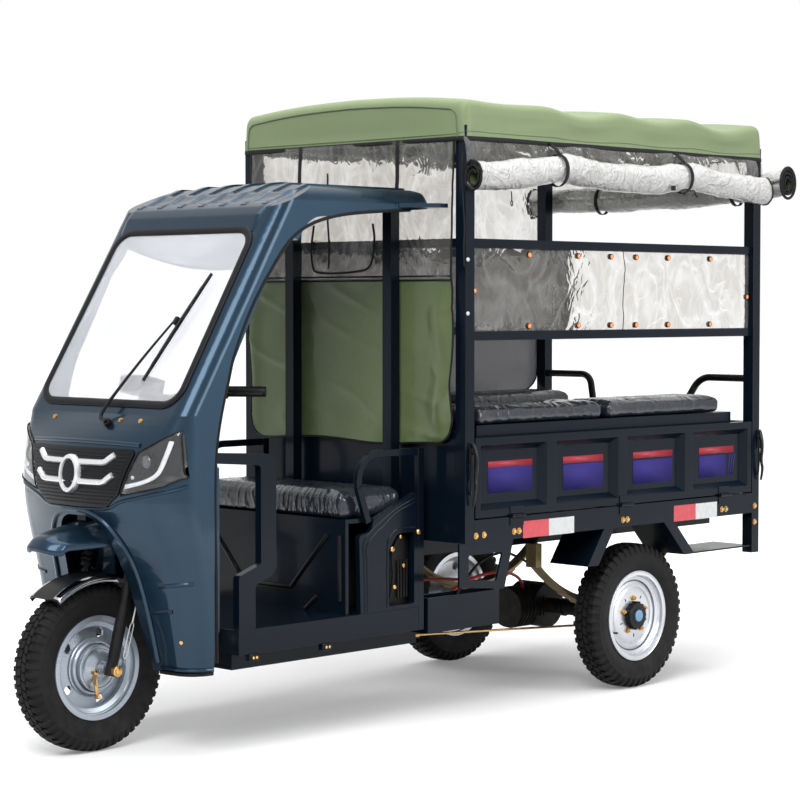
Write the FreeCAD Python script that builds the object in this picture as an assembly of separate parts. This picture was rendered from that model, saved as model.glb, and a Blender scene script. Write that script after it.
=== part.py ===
import FreeCAD, Part
import math
import os

# A three-wheeled auto rickshaw: a steered front wheel under a half-open cab,
# and a stake-framed box with drop sides, benches and a tarpaulin roof behind.
# Millimetres. X is to the vehicle's left, Y is to its rear and Z is up.
# The origin is on the ground, at the middle of the whole outline.

V = FreeCAD.Vector
os.makedirs("parts", exist_ok=True)

# Driving dimensions of the whole vehicle.
wheelbase = 2180.0
box_front = 1175.0
rear_overhang = 695.0
box_length = wheelbase + rear_overhang - box_front
box_half_width = 558.0
bed_bottom = 617.0
bed_top = 975.0
rail_low_top = 1339.0
rail_high_top = 1657.0
canopy_hem = 1993.0
canopy_rise = 135.0
canopy_arch = 37.0
canopy_shoulder = canopy_hem + canopy_rise
canopy_crown = canopy_shoulder + canopy_arch
cab_half_width = 405.0
floor_top = 396.0
floor_bottom = 315.0
overrun = 5.0

# Clearances between pieces.
seat_gap = 0.3
running_gap = 6.0
soft_gap = 0.4

# Wheels.
tyre_radius = 270.0
tyre_width = 115.0
tyre_shoulder = 18.0
tyre_bead_radius = 157.0
rim_flange_radius = 168.0
rim_flange_lip = 6.0
rim_width = 92.0
rim_wall = 5.0
rim_disc = 6.0
rim_well_radius = 138.0
rim_dish = 14.0
hub_radius = 46.0
hub_length = 96.0
drum_radius = 92.0
drum_depth = 30.0
rim_window_radius = 16.0
rim_window_circle = 113.0
rim_window_count = 5
rear_track_half = 460.0
axle_pin_radius = 11.0
pin_clearance = 0.05

# Roll-up curtains at the left side and the rear.
side_roll_width = 88.0
side_roll_height = 122.0
side_roll_drop = 71.0
rear_roll_width = 96.0
rear_roll_height = 118.0
rear_roll_half_length = 655.0
roll_gap = 6.0
side_roll_front = 15.0

# Where the front axle lies, so that the outline is centred on the origin.
box_rear = box_front + box_length
rear_end = box_rear + roll_gap + rear_roll_width
front_axle_y = -(rear_end - tyre_radius) / 2.0


def behind(distance):
    """Y of a place given as a distance behind the front axle."""
    return front_axle_y + distance


# Small builders.

def block(x0, x1, y0, y1, z0, z1):
    return Part.makeBox(x1 - x0, y1 - y0, z1 - z0, V(x0, y0, z0))


def mirrored(shape):
    return shape.mirror(V(0, 0, 0), V(1, 0, 0))


def both_sides(shape):
    return Part.makeCompound([shape, mirrored(shape)])


def rod(start, end, radius):
    return Part.makeCylinder(radius, (end - start).Length, start, end - start)


def ring(start, end, outer, inner):
    bore_start = start - (end - start) * 0.5
    bore_end = end + (end - start) * 0.5
    return rod(start, end, outer).cut(rod(bore_start, bore_end, inner))


def rounded_wire(corners, closed=True):
    """A wire of straight runs and tangent arcs from (point, radius) corners."""
    count = len(corners)
    edges = []
    ends = []
    for i, (point, radius) in enumerate(corners):
        if radius <= 0 or (not closed and i in (0, count - 1)):
            ends.append((point, point))
            continue
        before = corners[(i - 1) % count][0]
        after = corners[(i + 1) % count][0]
        to_before = (before - point).normalize()
        to_after = (after - point).normalize()
        half = to_before.getAngle(to_after) / 2.0
        reach = radius / math.tan(half)
        middle = (to_before + to_after).normalize()
        arc_mid = point + middle * (radius / math.sin(half) - radius)
        first = point + to_before * reach
        last = point + to_after * reach
        edges.append((i, Part.Arc(first, arc_mid, last).toShape()))
        ends.append((first, last))
    arcs = dict(edges)
    parts = []
    last_run = count if closed else count - 1
    for i in range(count):
        if i in arcs:
            parts.append(arcs[i])
        if i < last_run:
            start = ends[i][1]
            end = ends[(i + 1) % count][0]
            if (end - start).Length > overrun * 1e-4:
                parts.append(Part.LineSegment(start, end).toShape())
    return Part.Wire(parts)


def side_outline(corners):
    """Corners (y, z, radius) as points in the plane X = 0."""
    return [(V(0, y, z), radius) for y, z, radius in corners]


def front_outline(corners):
    """Corners (x, z, radius) as points in the plane Y = 0."""
    return [(V(x, 0, z), radius) for x, z, radius in corners]


def side_prism(corners, x0, x1):
    face = Part.Face(rounded_wire(side_outline(corners)))
    face.translate(V(x0, 0, 0))
    return face.extrude(V(x1 - x0, 0, 0))


def front_prism(corners, y0, y1):
    face = Part.Face(rounded_wire(front_outline(corners)))
    face.translate(V(0, y0, 0))
    return face.extrude(V(0, y1 - y0, 0))


def bent_bar(corners, half_a, half_b=None):
    """A bar along rounded corners: round, or half_a by half_b square."""
    path = rounded_wire(corners, closed=False)
    start = corners[0][0]
    along = (corners[1][0] - start).normalize()
    if half_b is None:
        section = Part.Wire(Part.makeCircle(half_a, start, along))
    else:
        side = along.cross(V(0, 0, 1))
        if side.Length < 0.1:
            side = V(1, 0, 0)
        side.normalize()
        other = along.cross(side).normalize()
        points = [start + side * (a * half_a) + other * (b * half_b)
                  for a, b in ((1, 1), (-1, 1), (-1, -1), (1, -1), (1, 1))]
        section = Part.makePolygon(points)
    return path.makePipeShell([section], True, False)


def revolve_x(profile, x_shift, y, z):
    """A solid of revolution about X from (x, radius) profile points."""
    points = [V(x, 0, radius) for x, radius in profile]
    points.append(points[0])
    face = Part.Face(Part.makePolygon(points))
    solid = face.revolve(V(0, 0, 0), V(1, 0, 0), 360)
    solid.translate(V(x_shift, y, z))
    return solid


def fused(shapes):
    shapes = list(shapes)
    return shapes[0].multiFuse(shapes[1:]).removeSplitter()


def save(node, shape):
    shape.exportStep("parts/%s.step" % node)


# Wheels.

def tyre(x, y):
    half = tyre_width / 2.0
    lip = rim_flange_lip
    bead_half = rim_width / 2.0 - lip - seat_gap
    outline = [
        (-bead_half, tyre_bead_radius), (-bead_half, rim_flange_radius),
        (-half, (tyre_radius + rim_flange_radius) / 2.0),
        (-half, tyre_radius - 2.0 * tyre_shoulder),
        (-half + tyre_shoulder / 2.0, tyre_radius - tyre_shoulder / 2.0),
        (-half + tyre_shoulder, tyre_radius),
    ]
    outline += [(-a, b) for a, b in reversed(outline)]
    return revolve_x(outline, x, y, tyre_radius)


def rim(x, y, outward):
    half = rim_width / 2.0
    lip = rim_flange_lip
    seat = tyre_bead_radius - seat_gap
    well_half = half / 2.0
    barrel = [
        (-half, rim_flange_radius), (-half + lip, rim_flange_radius),
        (-half + lip, seat), (-well_half, seat), (-well_half + lip, rim_well_radius),
        (well_half - lip, rim_well_radius), (well_half, seat), (half - lip, seat),
        (half - lip, rim_flange_radius), (half, rim_flange_radius),
        (half, seat - rim_wall), (well_half + lip, seat - rim_wall),
        (well_half, rim_well_radius - rim_wall), (-well_half, rim_well_radius - rim_wall),
        (-well_half - lip, seat - rim_wall), (-half, seat - rim_wall),
    ]
    wheel = revolve_x(barrel, 0, 0, 0)
    inner = rim_well_radius - rim_wall / 2.0
    root = hub_radius - rim_wall
    disc = [(0, root), (0, inner), (rim_disc, inner), (rim_dish, drum_radius), (rim_dish, root)]
    plate = revolve_x(disc, 0, 0, 0)
    hub = ring(V(-hub_length / 2.0, 0, 0), V(hub_length / 2.0, 0, 0),
               hub_radius, axle_pin_radius + pin_clearance)
    wheel = wheel.fuse([plate, hub])
    for i in range(rim_window_count):
        angle = 2.0 * math.pi * i / rim_window_count
        centre = V(-drum_depth, rim_window_circle * math.cos(angle),
                   rim_window_circle * math.sin(angle))
        wheel = wheel.cut(rod(centre, centre + V(2.0 * drum_depth, 0, 0), rim_window_radius))
    if outward < 0:
        wheel = mirrored(wheel)
    wheel.translate(V(x, y, tyre_radius))
    return wheel.removeSplitter()


rear_axle_y = behind(wheelbase)

# Cab shell: horizontal sections from the foot of the leg shields to the top
# of the windscreen, each as height, front line, bow of the front and corner radius.
cab_wall = 12.0
cab_reach = 750.0
shield_foot = 270.0
screen_bottom_y = 55.0
screen_bottom_z = 1085.0
screen_top_y = 425.0
screen_top_z = 1690.0
cab_sections = [
    (shield_foot, 92.0, 20.0, 385.0, 70.0),
    (420.0, 60.0, 30.0, 396.0, 80.0),
    (560.0, 28.0, 38.0, 402.0, 86.0),
    (680.0, -16.0, 56.0, cab_half_width, 92.0),
    (780.0, -52.0, 76.0, cab_half_width, 96.0),
    (880.0, -62.0, 86.0, cab_half_width, 96.0),
    (975.0, -44.0, 80.0, cab_half_width, 90.0),
    (1035.0, 0.0, 44.0, cab_half_width, 74.0),
    (screen_bottom_z, screen_bottom_y, 0.0, cab_half_width, 55.0),
]
cab_section_steps = 3
cab_top_narrowing = 3.0


def smooth_sections():
    """The table with curved in-between sections below the windscreen."""
    count = len(cab_sections)
    made = []
    for i in range(count - 1):
        before = cab_sections[max(i - 1, 0)]
        here = cab_sections[i]
        there = cab_sections[i + 1]
        after = cab_sections[min(i + 2, count - 1)]
        for step in range(cab_section_steps):
            t = step / cab_section_steps
            row = []
            for a, b, c, d in zip(before, here, there, after):
                bend = 2.0 * a - 5.0 * b + 4.0 * c - d
                rest = 3.0 * (b - c) + d - a
                row.append(b + t * ((c - a) + t * (bend + t * rest)) / 2.0)
            made.append(row)
    made.append(cab_sections[-1])
    top = cab_sections[-1]
    made.append((screen_top_z, screen_top_y, top[2], top[3] - cab_top_narrowing, top[4]))
    return made


def cab_section(z, front, bow, half_width, radius, grow, reach):
    """One plan section of the cab shell, grown outwards by grow, back to reach."""
    w = half_width + grow
    y0 = behind(front) - grow
    r = radius + grow
    edge_x = w - r
    edge_y = y0 + bow * (edge_x / w) ** 2
    side_y = y0 + bow + r
    diagonal = r * math.sqrt(0.5)
    mid = V(edge_x + diagonal, side_y - diagonal + (edge_y - (y0 + bow)) / 2.0, z)
    side = V(w, side_y, z)
    corner = V(edge_x, edge_y, z)
    rear = V(w, behind(reach), z)

    def flip(p):
        return V(-p.x, p.y, p.z)

    if bow > 0:
        front_edge = Part.Arc(corner, V(0, y0, z), flip(corner)).toShape()
    else:
        front_edge = Part.LineSegment(corner, flip(corner)).toShape()
    return Part.Wire([
        Part.LineSegment(rear, side).toShape(),
        Part.Arc(side, mid, corner).toShape(),
        front_edge,
        Part.Arc(flip(corner), flip(mid), flip(side)).toShape(),
        Part.LineSegment(flip(side), flip(rear)).toShape(),
        Part.LineSegment(flip(rear), rear).toShape(),
    ])


def cab_solid(grow, stretch=0.0, reach=cab_reach):
    wires = []
    sections = smooth_sections()
    last = len(sections) - 1
    for i, (z, front, bow, half_width, radius) in enumerate(sections):
        if i == 0:
            z -= stretch
        if i == last:
            z += stretch
            front += stretch * (screen_top_y - screen_bottom_y) / (screen_top_z - screen_bottom_z)
        wires.append(cab_section(z, front, bow, half_width, radius, grow, reach))
    return Part.makeLoft(wires, True, True)


# The door opening's front and upper edge, as distance behind the axle, height and radius.
door_edge = [
    (195.0, 985.0, 500.0),
    (250.0, 1222.0, 420.0),
    (452.0, 1594.0, 260.0),
    (600.0, 1716.0, 200.0),
]
door_edge_rear = (1180.0, 1758.0)
roof_seam_rear = (545.0, 1640.0)


def door_prism(gap=0.0):
    corners = [(behind(door_edge[0][0]), shield_foot - 10.0 * overrun, 0)]
    corners += [(behind(d), z, r) for d, z, r in door_edge]
    corners.append((behind(door_edge_rear[0]), door_edge_rear[1], 0))
    corners.append((behind(door_edge_rear[0]), shield_foot - 10.0 * overrun, 0))
    corners = [(y + gap, z, r) for y, z, r in corners]
    reach = 2.0 * cab_half_width
    return side_prism(corners, -reach, reach)


# Windscreen, in its own sloping plane.
screen_half_width = 338.0
screen_top_half_width = 330.0
screen_corner = 58.0
screen_margin_bottom = 46.0
screen_margin_top = 30.0
glass_thickness = 6.0
seal_width = 24.0
seal_thickness = 16.0
seal_proud = 7.0
seal_zone = 60.0

slope = math.atan2(screen_top_y - screen_bottom_y, screen_top_z - screen_bottom_z)
slope_up = V(0, math.sin(slope), math.cos(slope))
slope_out = V(0, -math.cos(slope), math.sin(slope))
screen_foot = V(0, behind(screen_bottom_y), screen_bottom_z)
screen_height = math.hypot(screen_top_y - screen_bottom_y, screen_top_z - screen_bottom_z)


def screen_prism(grow, depth_in, depth_out):
    """The windscreen's outline grown by grow, from depth_in to depth_out."""
    low = screen_margin_bottom - grow
    high = screen_height - screen_margin_top + grow
    wide = screen_half_width + grow
    narrow = screen_top_half_width + grow
    r = screen_corner + grow
    corners = [(-wide, low), (wide, low), (narrow, high), (-narrow, high)]
    points = [(screen_foot + V(x, 0, 0) + slope_up * v + slope_out * depth_in, r)
              for x, v in corners]
    face = Part.Face(rounded_wire(points))
    return face.extrude(slope_out * (depth_out - depth_in))


# Wheel arch, lamps and grille openings, as seen from the front.
arch_foot_half = 215.0
arch_top_half = 132.0
arch_side_top = 665.0
arch_top = 762.0
arch_corner = 90.0
lamp_corners = [(272.0, 972.0), (392.0, 1042.0), (401.0, 892.0), (362.0, 866.0), (212.0, 832.0)]
lamp_corner_radius = 10.0
grille_corners = [(262.0, 980.0), (206.0, 836.0), (150.0, 792.0)]
grille_corner_radius = 14.0
panel_gap = seat_gap
panel_proud = 5.0
panel_depth = cab_wall
panel_zone = (-160.0, 190.0)


def arch_prism():
    foot = shield_foot - 10.0 * overrun
    corners = [
        (-arch_foot_half, foot, 0), (arch_foot_half, foot, 0),
        (arch_top_half, arch_side_top, arch_corner), (arch_corner, arch_top, arch_corner),
        (-arch_corner, arch_top, arch_corner), (-arch_top_half, arch_side_top, arch_corner),
    ]
    return front_prism(corners, behind(panel_zone[0]), behind(panel_zone[1]) + panel_depth)


def lamp_prism(grow):
    centre_x = sum(x for x, z in lamp_corners) / len(lamp_corners)
    centre_z = sum(z for x, z in lamp_corners) / len(lamp_corners)
    corners = []
    for x, z in lamp_corners:
        away = V(x - centre_x, 0, z - centre_z)
        point = V(x, 0, z) + away.normalize() * grow
        corners.append((point.x, point.z, lamp_corner_radius))
    return front_prism(corners, behind(panel_zone[0]), behind(panel_zone[1]))


def grille_prism(grow):
    right = [(x + grow, z, grille_corner_radius) for x, z in grille_corners]
    right[0] = (right[0][0], right[0][1] + grow, grille_corner_radius)
    right[-1] = (right[-1][0], right[-1][1] - grow, grille_corner_radius)
    left = [(-x, z, r) for x, z, r in reversed(right)]
    return front_prism(right + left, behind(panel_zone[0]), behind(panel_zone[1]))


def front_skin(proud, depth):
    return cab_solid(proud).cut(cab_solid(-depth, overrun))


def roof_side(grow):
    """The roof's side outline: its lower edge is the door opening's upper edge."""
    top_y, top_z = screen_top_y, screen_top_z
    lower = [(behind(roof_seam_rear[0]), roof_seam_rear[1], 0),
             (behind(door_edge[3][0]), door_edge[3][1], door_edge[3][2] / 2.0),
             (behind(roof_rear), door_edge_rear[1], 0)]
    upper = [(behind(roof_rear), roof_rear_top + grow, 0),
             (behind(roof_crest_rear), roof_crest + grow, roof_crest_radius),
             (behind(roof_crest_front), roof_crest - roof_crest_fall + grow, roof_crest_radius),
             (behind(roof_brow_y) - grow, roof_brow_z + grow, roof_brow_radius)]
    return [(behind(top_y) - grow, top_z, 0)] + lower + upper


roof_rear = 1150.0
roof_rear_top = 1812.0
roof_crest = 1848.0
roof_crest_fall = 10.0
roof_crest_rear = 1060.0
roof_crest_front = 690.0
roof_crest_radius = 260.0
roof_brow_y = 446.0
roof_brow_z = 1742.0
roof_brow_radius = 44.0
roof_shoulder = 70.0
roof_side_top = 1818.0
roof_wall = 12.0
roof_stretch = 260.0
roof_rib_half = 11.0
roof_rib_proud = 6.0
roof_rib_front = 474.0
roof_rib_rear = 1112.0
roof_rib_shares = (-0.84, -0.56, -0.28, 0.0, 0.28, 0.56, 0.84)
roof_rib_span = 380.0
visor_half = 500.0
visor_front = 1010.0
visor_depth = 46.0
visor_thickness = 14.0
visor_bottom = 1760.0


def roof_solid(grow):
    profile = Part.Face(rounded_wire(side_outline(roof_side(grow))))
    reach = cab_half_width + overrun
    profile.translate(V(-reach, 0, 0))
    body = profile.extrude(V(2.0 * reach, 0, 0))
    w = cab_half_width + grow
    low = roof_seam_rear[1] - 20.0 * overrun
    front = [(-w, low, 0), (w, low, 0), (w, roof_side_top + grow, roof_shoulder),
             (0, roof_crest + grow, 2.0 * cab_half_width),
             (-w, roof_side_top + grow, roof_shoulder)]
    arch = front_prism(front, behind(screen_bottom_y), behind(roof_rear) + overrun)
    corners = cab_solid(grow, roof_stretch, roof_rear + roof_stretch)
    return body.common(arch).common(corners)


def roof_rib(share):
    """One raised rib along the roof."""
    x = share * roof_rib_span
    slab = block(x - roof_rib_half, x + roof_rib_half, behind(roof_rib_front), behind(roof_rib_rear),
                 roof_brow_z, roof_crest + roof_rib_proud + overrun)
    return roof_solid(roof_rib_proud).common(slab)


def roof_wing():
    """The thin blade that stands out at the roof's rear corner."""
    wall_x = cab_half_width - roof_wall
    plan = [(wall_x, visor_front), (cab_half_width, visor_front),
            (visor_half, roof_rear - visor_depth), (visor_half, roof_rear), (wall_x, roof_rear)]
    points = [V(x, behind(d), visor_bottom) for x, d in plan]
    points.append(points[0])
    return Part.Face(Part.makePolygon(points)).extrude(V(0, 0, visor_thickness))


def cab_roof():
    ribs = [roof_rib(share) for share in roof_rib_shares]
    shell = fused([roof_solid(0.0)] + ribs).cut(roof_solid(-roof_wall))
    return fused([shell, roof_wing(), mirrored(roof_wing())])


def cab_front():
    shell = cab_solid(0.0).cut(cab_solid(-cab_wall, overrun))
    shell = shell.cut(door_prism())
    seam = side_prism([
        (behind(screen_top_y) - 40.0 * overrun, screen_top_z, 0),
        (behind(screen_top_y), screen_top_z, 0),
        (behind(roof_seam_rear[0]), roof_seam_rear[1], 0),
        (behind(roof_rear), roof_seam_rear[1], 0),
        (behind(roof_rear), screen_top_z + 40.0 * overrun, 0),
        (behind(screen_top_y) - 40.0 * overrun, screen_top_z + 40.0 * overrun, 0),
    ], -cab_half_width - overrun, cab_half_width + overrun)
    shell = shell.cut(seam)
    shell = shell.cut(screen_prism(0.0, -seal_zone, seal_zone))
    shell = shell.cut(arch_prism())
    shell = shell.cut(lamp_prism(panel_gap))
    shell = shell.cut(mirrored(lamp_prism(panel_gap)))
    return shell.cut(grille_prism(panel_gap)).removeSplitter()


def windscreen():
    return screen_prism(-seal_width / 2.0, -glass_thickness / 2.0, glass_thickness / 2.0)


def windscreen_seal():
    band = screen_prism(seal_width, -seal_thickness / 2.0, seal_proud)
    band = band.cut(screen_prism(-seal_width, -seal_thickness, seal_thickness))
    band = band.cut(cab_solid(seat_gap))
    lip = screen_prism(-seat_gap, -cab_wall, seal_proud)
    lip = lip.cut(screen_prism(-seal_width, -seal_thickness, seal_thickness))
    reach = glass_thickness / 2.0 + seat_gap
    slot = screen_prism(seat_gap - seal_width / 2.0, -reach, reach)
    return band.fuse(lip).cut(slot).removeSplitter()


# Grille bars with turned-up ends, joined by an oval ring.
bar_heights = (864.0, 926.0)
bar_half_length = 182.0
bar_thickness = 16.0
bar_end_rise = 20.0
bar_end_length = 34.0
ring_half_width = 34.0
ring_half_height = 60.0
ring_band = 9.0
trim_proud = 14.0


def grille():
    return front_skin(panel_proud, panel_depth).common(grille_prism(0.0))


oval_share = 0.98


def oval_corners(centre_x, centre_z, half_width, half_height):
    corners = []
    for a, b in ((-1, -1), (1, -1), (1, 1), (-1, 1)):
        corners.append((centre_x + a * half_width, centre_z + b * half_height, half_width * oval_share))
    return corners


def grille_trim():
    y0 = behind(panel_zone[0])
    y1 = behind(panel_zone[1])
    t = bar_thickness
    bars = []
    for z in bar_heights:
        tip = bar_half_length - bar_end_length
        outline = [(-bar_half_length, z + t + bar_end_rise, 0), (-tip, z + t, bar_end_rise),
                   (tip, z + t, bar_end_rise), (bar_half_length, z + t + bar_end_rise, 0),
                   (bar_half_length, z + bar_end_rise, 0), (tip, z, bar_end_rise),
                   (-tip, z, bar_end_rise), (-bar_half_length, z + bar_end_rise, 0)]
        bars.append(front_prism(outline, y0, y1))
    middle = (bar_heights[0] + bar_heights[1] + t) / 2.0
    outer = front_prism(oval_corners(0.0, middle, ring_half_width, ring_half_height), y0, y1)
    inner = front_prism(oval_corners(0.0, middle, ring_half_width - ring_band,
                                     ring_half_height - ring_band), y0, y1)
    outline = fused(bars + [outer]).cut(inner)
    layer = cab_solid(trim_proud).cut(cab_solid(panel_proud + seat_gap, overrun))
    return layer.common(outline)


def headlamp():
    return front_skin(panel_proud, panel_depth).common(lamp_prism(0.0))


# Fixed beak over the front wheel.
beak_rear = 6.0
beak_front = -212.0
beak_rear_half = 122.0
beak_front_half = 82.0
beak_bottom = 662.0
beak_rear_top = 742.0
beak_front_top = 690.0
beak_wall = 10.0
beak_corner = 34.0


def beak_solid(grow):
    plan = [V(-beak_rear_half - grow, behind(beak_rear), 0), V(beak_rear_half + grow, behind(beak_rear), 0),
            V(beak_front_half + grow, behind(beak_front) - grow, 0),
            V(-beak_front_half - grow, behind(beak_front) - grow, 0)]
    radii = (0, 0, beak_corner, beak_corner)
    face = Part.Face(rounded_wire(list(zip(plan, radii))))
    face.translate(V(0, 0, beak_bottom - overrun))
    body = face.extrude(V(0, 0, beak_rear_top))
    low = beak_bottom if grow >= 0 else beak_bottom - overrun
    side = side_prism([
        (behind(beak_front) - overrun, low, 0), (behind(beak_rear), low, 0),
        (behind(beak_rear), beak_rear_top + grow, 0),
        (behind(beak_front) - overrun, beak_front_top + grow, 0),
    ], -2.0 * beak_rear_half, 2.0 * beak_rear_half)
    roof = [(-beak_rear_half - overrun, beak_bottom - overrun, 0),
            (beak_rear_half + overrun, beak_bottom - overrun, 0),
            (beak_rear_half + overrun, beak_front_top - beak_wall + grow, 0),
            (beak_front_half / 2.0, beak_rear_top + grow, beak_corner),
            (-beak_front_half / 2.0, beak_rear_top + grow, beak_corner),
            (-beak_rear_half - overrun, beak_front_top - beak_wall + grow, 0)]
    top = front_prism(roof, behind(beak_front) - 2.0 * overrun, behind(beak_rear) + overrun)
    return body.common(side).common(top)


def fender_beak():
    return beak_solid(0.0).cut(beak_solid(-beak_wall))


# Steering geometry: the legs rise from the front axle, raked to the rear,
# and the steering axis is parallel to them, a yoke offset behind.
rake = math.radians(15.0)
leg_x = 112.0
leg_radius = 19.0
leg_upper_radius = 13.0
yoke_offset = 36.0
steer_up = V(0, math.sin(rake), math.cos(rake))
axle_centre = V(0, front_axle_y, tyre_radius)
steer_foot = axle_centre + V(0, yoke_offset / math.cos(rake), 0)
leg_lower = 310.0
spring_radius = 27.0
spring_wire = 4.5
spring_turns = 5
spring_pitch = 19.0
crown_low = 430.0
crown_high = 616.0
crown_thickness = 26.0
head_low = 486.0
head_high = 584.0
head_outer = 30.0
stem_radius = 16.0
stem_top = 865.0
axle_half = 148.0
axle_nut_radius = 15.0
axle_nut_length = 14.0


def on_steer(distance, x=0.0, ahead=0.0):
    """A point up the steering axis, shifted sideways and ahead."""
    return steer_foot + steer_up * distance + V(x, -ahead / math.cos(rake), 0)


def raked_block(low, high, half_x, ahead_front, ahead_rear):
    across = V(0, math.cos(rake), -math.sin(rake))
    start = steer_foot + steer_up * low
    points = []
    for a, b in ((-ahead_front, -half_x), (-ahead_front, half_x),
                 (ahead_rear, half_x), (ahead_rear, -half_x)):
        points.append(start + across * a + V(b, 0, 0))
    points.append(points[0])
    return Part.Face(Part.makePolygon(points)).extrude(steer_up * (high - low))


def fork():
    solids = []
    for side in (-1, 1):
        at_axle = axle_centre + V(side * leg_x, 0, 0)
        shoulder = at_axle + steer_up * leg_lower
        solids.append(rod(at_axle - steer_up * leg_radius, shoulder, leg_radius))
        solids.append(rod(shoulder, at_axle + steer_up * crown_high, leg_upper_radius))
        for i in range(spring_turns):
            start = shoulder + steer_up * (spring_pitch * (i + 0.5))
            solids.append(rod(start, start + steer_up * (2.0 * spring_wire), spring_radius))
    for level in (crown_low, crown_high - crown_thickness):
        solids.append(raked_block(level, level + crown_thickness, leg_x + leg_radius,
                                  yoke_offset + leg_radius, leg_radius))
    solids.append(rod(on_steer(crown_low), on_steer(stem_top), stem_radius))
    solids.append(rod(axle_centre - V(axle_half, 0, 0), axle_centre + V(axle_half, 0, 0), axle_pin_radius))
    for side in (-1, 1):
        nut = axle_centre + V(side * (axle_half - axle_nut_length), 0, 0)
        solids.append(rod(nut, nut + V(side * axle_nut_length, 0, 0), axle_nut_radius))
    return fused(solids)


# Handlebar, clamped on the stem's top.
bar_radius = 12.0
grip_radius = 17.0
bar_rise = 24.0
bar_reach = (70.0, 190.0, 310.0)
bar_back = (24.0, 118.0, 214.0)
grip_length = 125.0
grip_cap = 5.0
clamp_half = 30.0
clamp_height = 40.0
cluster_half_width = 70.0
cluster_depth = 75.0
cluster_height = 55.0


def handlebar():
    start = on_steer(stem_top + clamp_height / 2.0)
    inner = start + V(bar_reach[0], bar_back[0], 0)
    elbow = start + V(bar_reach[1], bar_back[1], bar_rise)
    end = start + V(bar_reach[2], bar_back[2], bar_rise)
    half = bent_bar([(start, 0), (inner, 3.0 * bar_radius), (elbow, 3.0 * bar_radius), (end, 0)], bar_radius)
    along = (end - elbow).normalize()
    grip = rod(end - along * grip_length, end + along * grip_cap, grip_radius)
    control = rod(end - along * (grip_length + 2.0 * grip_radius), end - along * grip_length,
                  grip_radius + grip_cap)
    side = half.fuse([grip, control])
    clamp = raked_block(stem_top + seat_gap, stem_top + clamp_height, clamp_half, clamp_half, clamp_half)
    cluster = raked_block(stem_top + clamp_height / 2.0, stem_top + clamp_height / 2.0 + cluster_height,
                          cluster_half_width, clamp_half / 2.0 + cluster_depth, -clamp_half / 2.0)
    return fused([side, mirrored(side), clamp, cluster])


# Steered mudguard over the front tyre.
guard_radius = 300.0
guard_half_width = 72.0
guard_thickness = 4.0
guard_flange = 22.0
guard_stay_half = 9.0
guard_front_angle = math.radians(38.0)
guard_rear_angle = math.radians(48.0)


def front_mudguard():
    half = guard_half_width
    profile = [(-half, guard_radius - guard_flange), (-half, guard_radius - guard_flange / 3.0),
               (-half + guard_flange, guard_radius), (half - guard_flange, guard_radius),
               (half, guard_radius - guard_flange / 3.0), (half, guard_radius - guard_flange)]
    t = guard_thickness
    inside = [(half - t, guard_radius - guard_flange),
              (half - t, guard_radius - guard_flange / 3.0 - t / 2.0),
              (half - guard_flange - t / 2.0, guard_radius - t),
              (-half + guard_flange + t / 2.0, guard_radius - t),
              (-half + t, guard_radius - guard_flange / 3.0 - t / 2.0),
              (-half + t, guard_radius - guard_flange)]
    points = [V(x, 0, r) for x, r in profile + inside]
    points.append(points[0])
    face = Part.Face(Part.makePolygon(points))
    face.rotate(V(0, 0, 0), V(1, 0, 0), math.degrees(guard_front_angle))
    sweep = -math.degrees(guard_front_angle + guard_rear_angle)
    arc = face.revolve(V(0, 0, 0), V(1, 0, 0), sweep)
    arc.translate(axle_centre)
    drop = yoke_offset * math.tan(rake)
    stay_low = guard_radius - guard_flange - drop
    stay_high = guard_radius - guard_flange / 3.0 - drop
    stay = raked_block(stay_low, stay_high, leg_x - leg_radius - seat_gap,
                       yoke_offset + guard_stay_half, guard_stay_half - yoke_offset)
    inner = raked_block(stay_low - overrun, stay_high + overrun, half - t / 2.0,
                        2.0 * yoke_offset + guard_stay_half, guard_stay_half + yoke_offset)
    return fused([arc, stay.cut(inner)])


# Chassis rails under the box, the drop to the cab floor and the steering head.
rail_x = 300.0
rail_half_width = 20.0
rail_height = 60.0
rail_front = 1120.0
cross_shares = (0.04, 0.275, 0.52, 0.765, 0.972)
cab_rail_bottom = 255.0
cab_rail_top = floor_bottom
down_tube_half = 25.0
down_tube_y = 352.0
head_bore_gap = 0.05
nose_half_width = 22.0
nose_height = 30.0
nose_front = -28.0


def nose_bracket():
    rear = on_steer((head_low + head_high) / 2.0).y
    return block(-nose_half_width, nose_half_width, behind(nose_front), rear,
                 beak_rear_top, beak_rear_top + nose_height)


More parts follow.
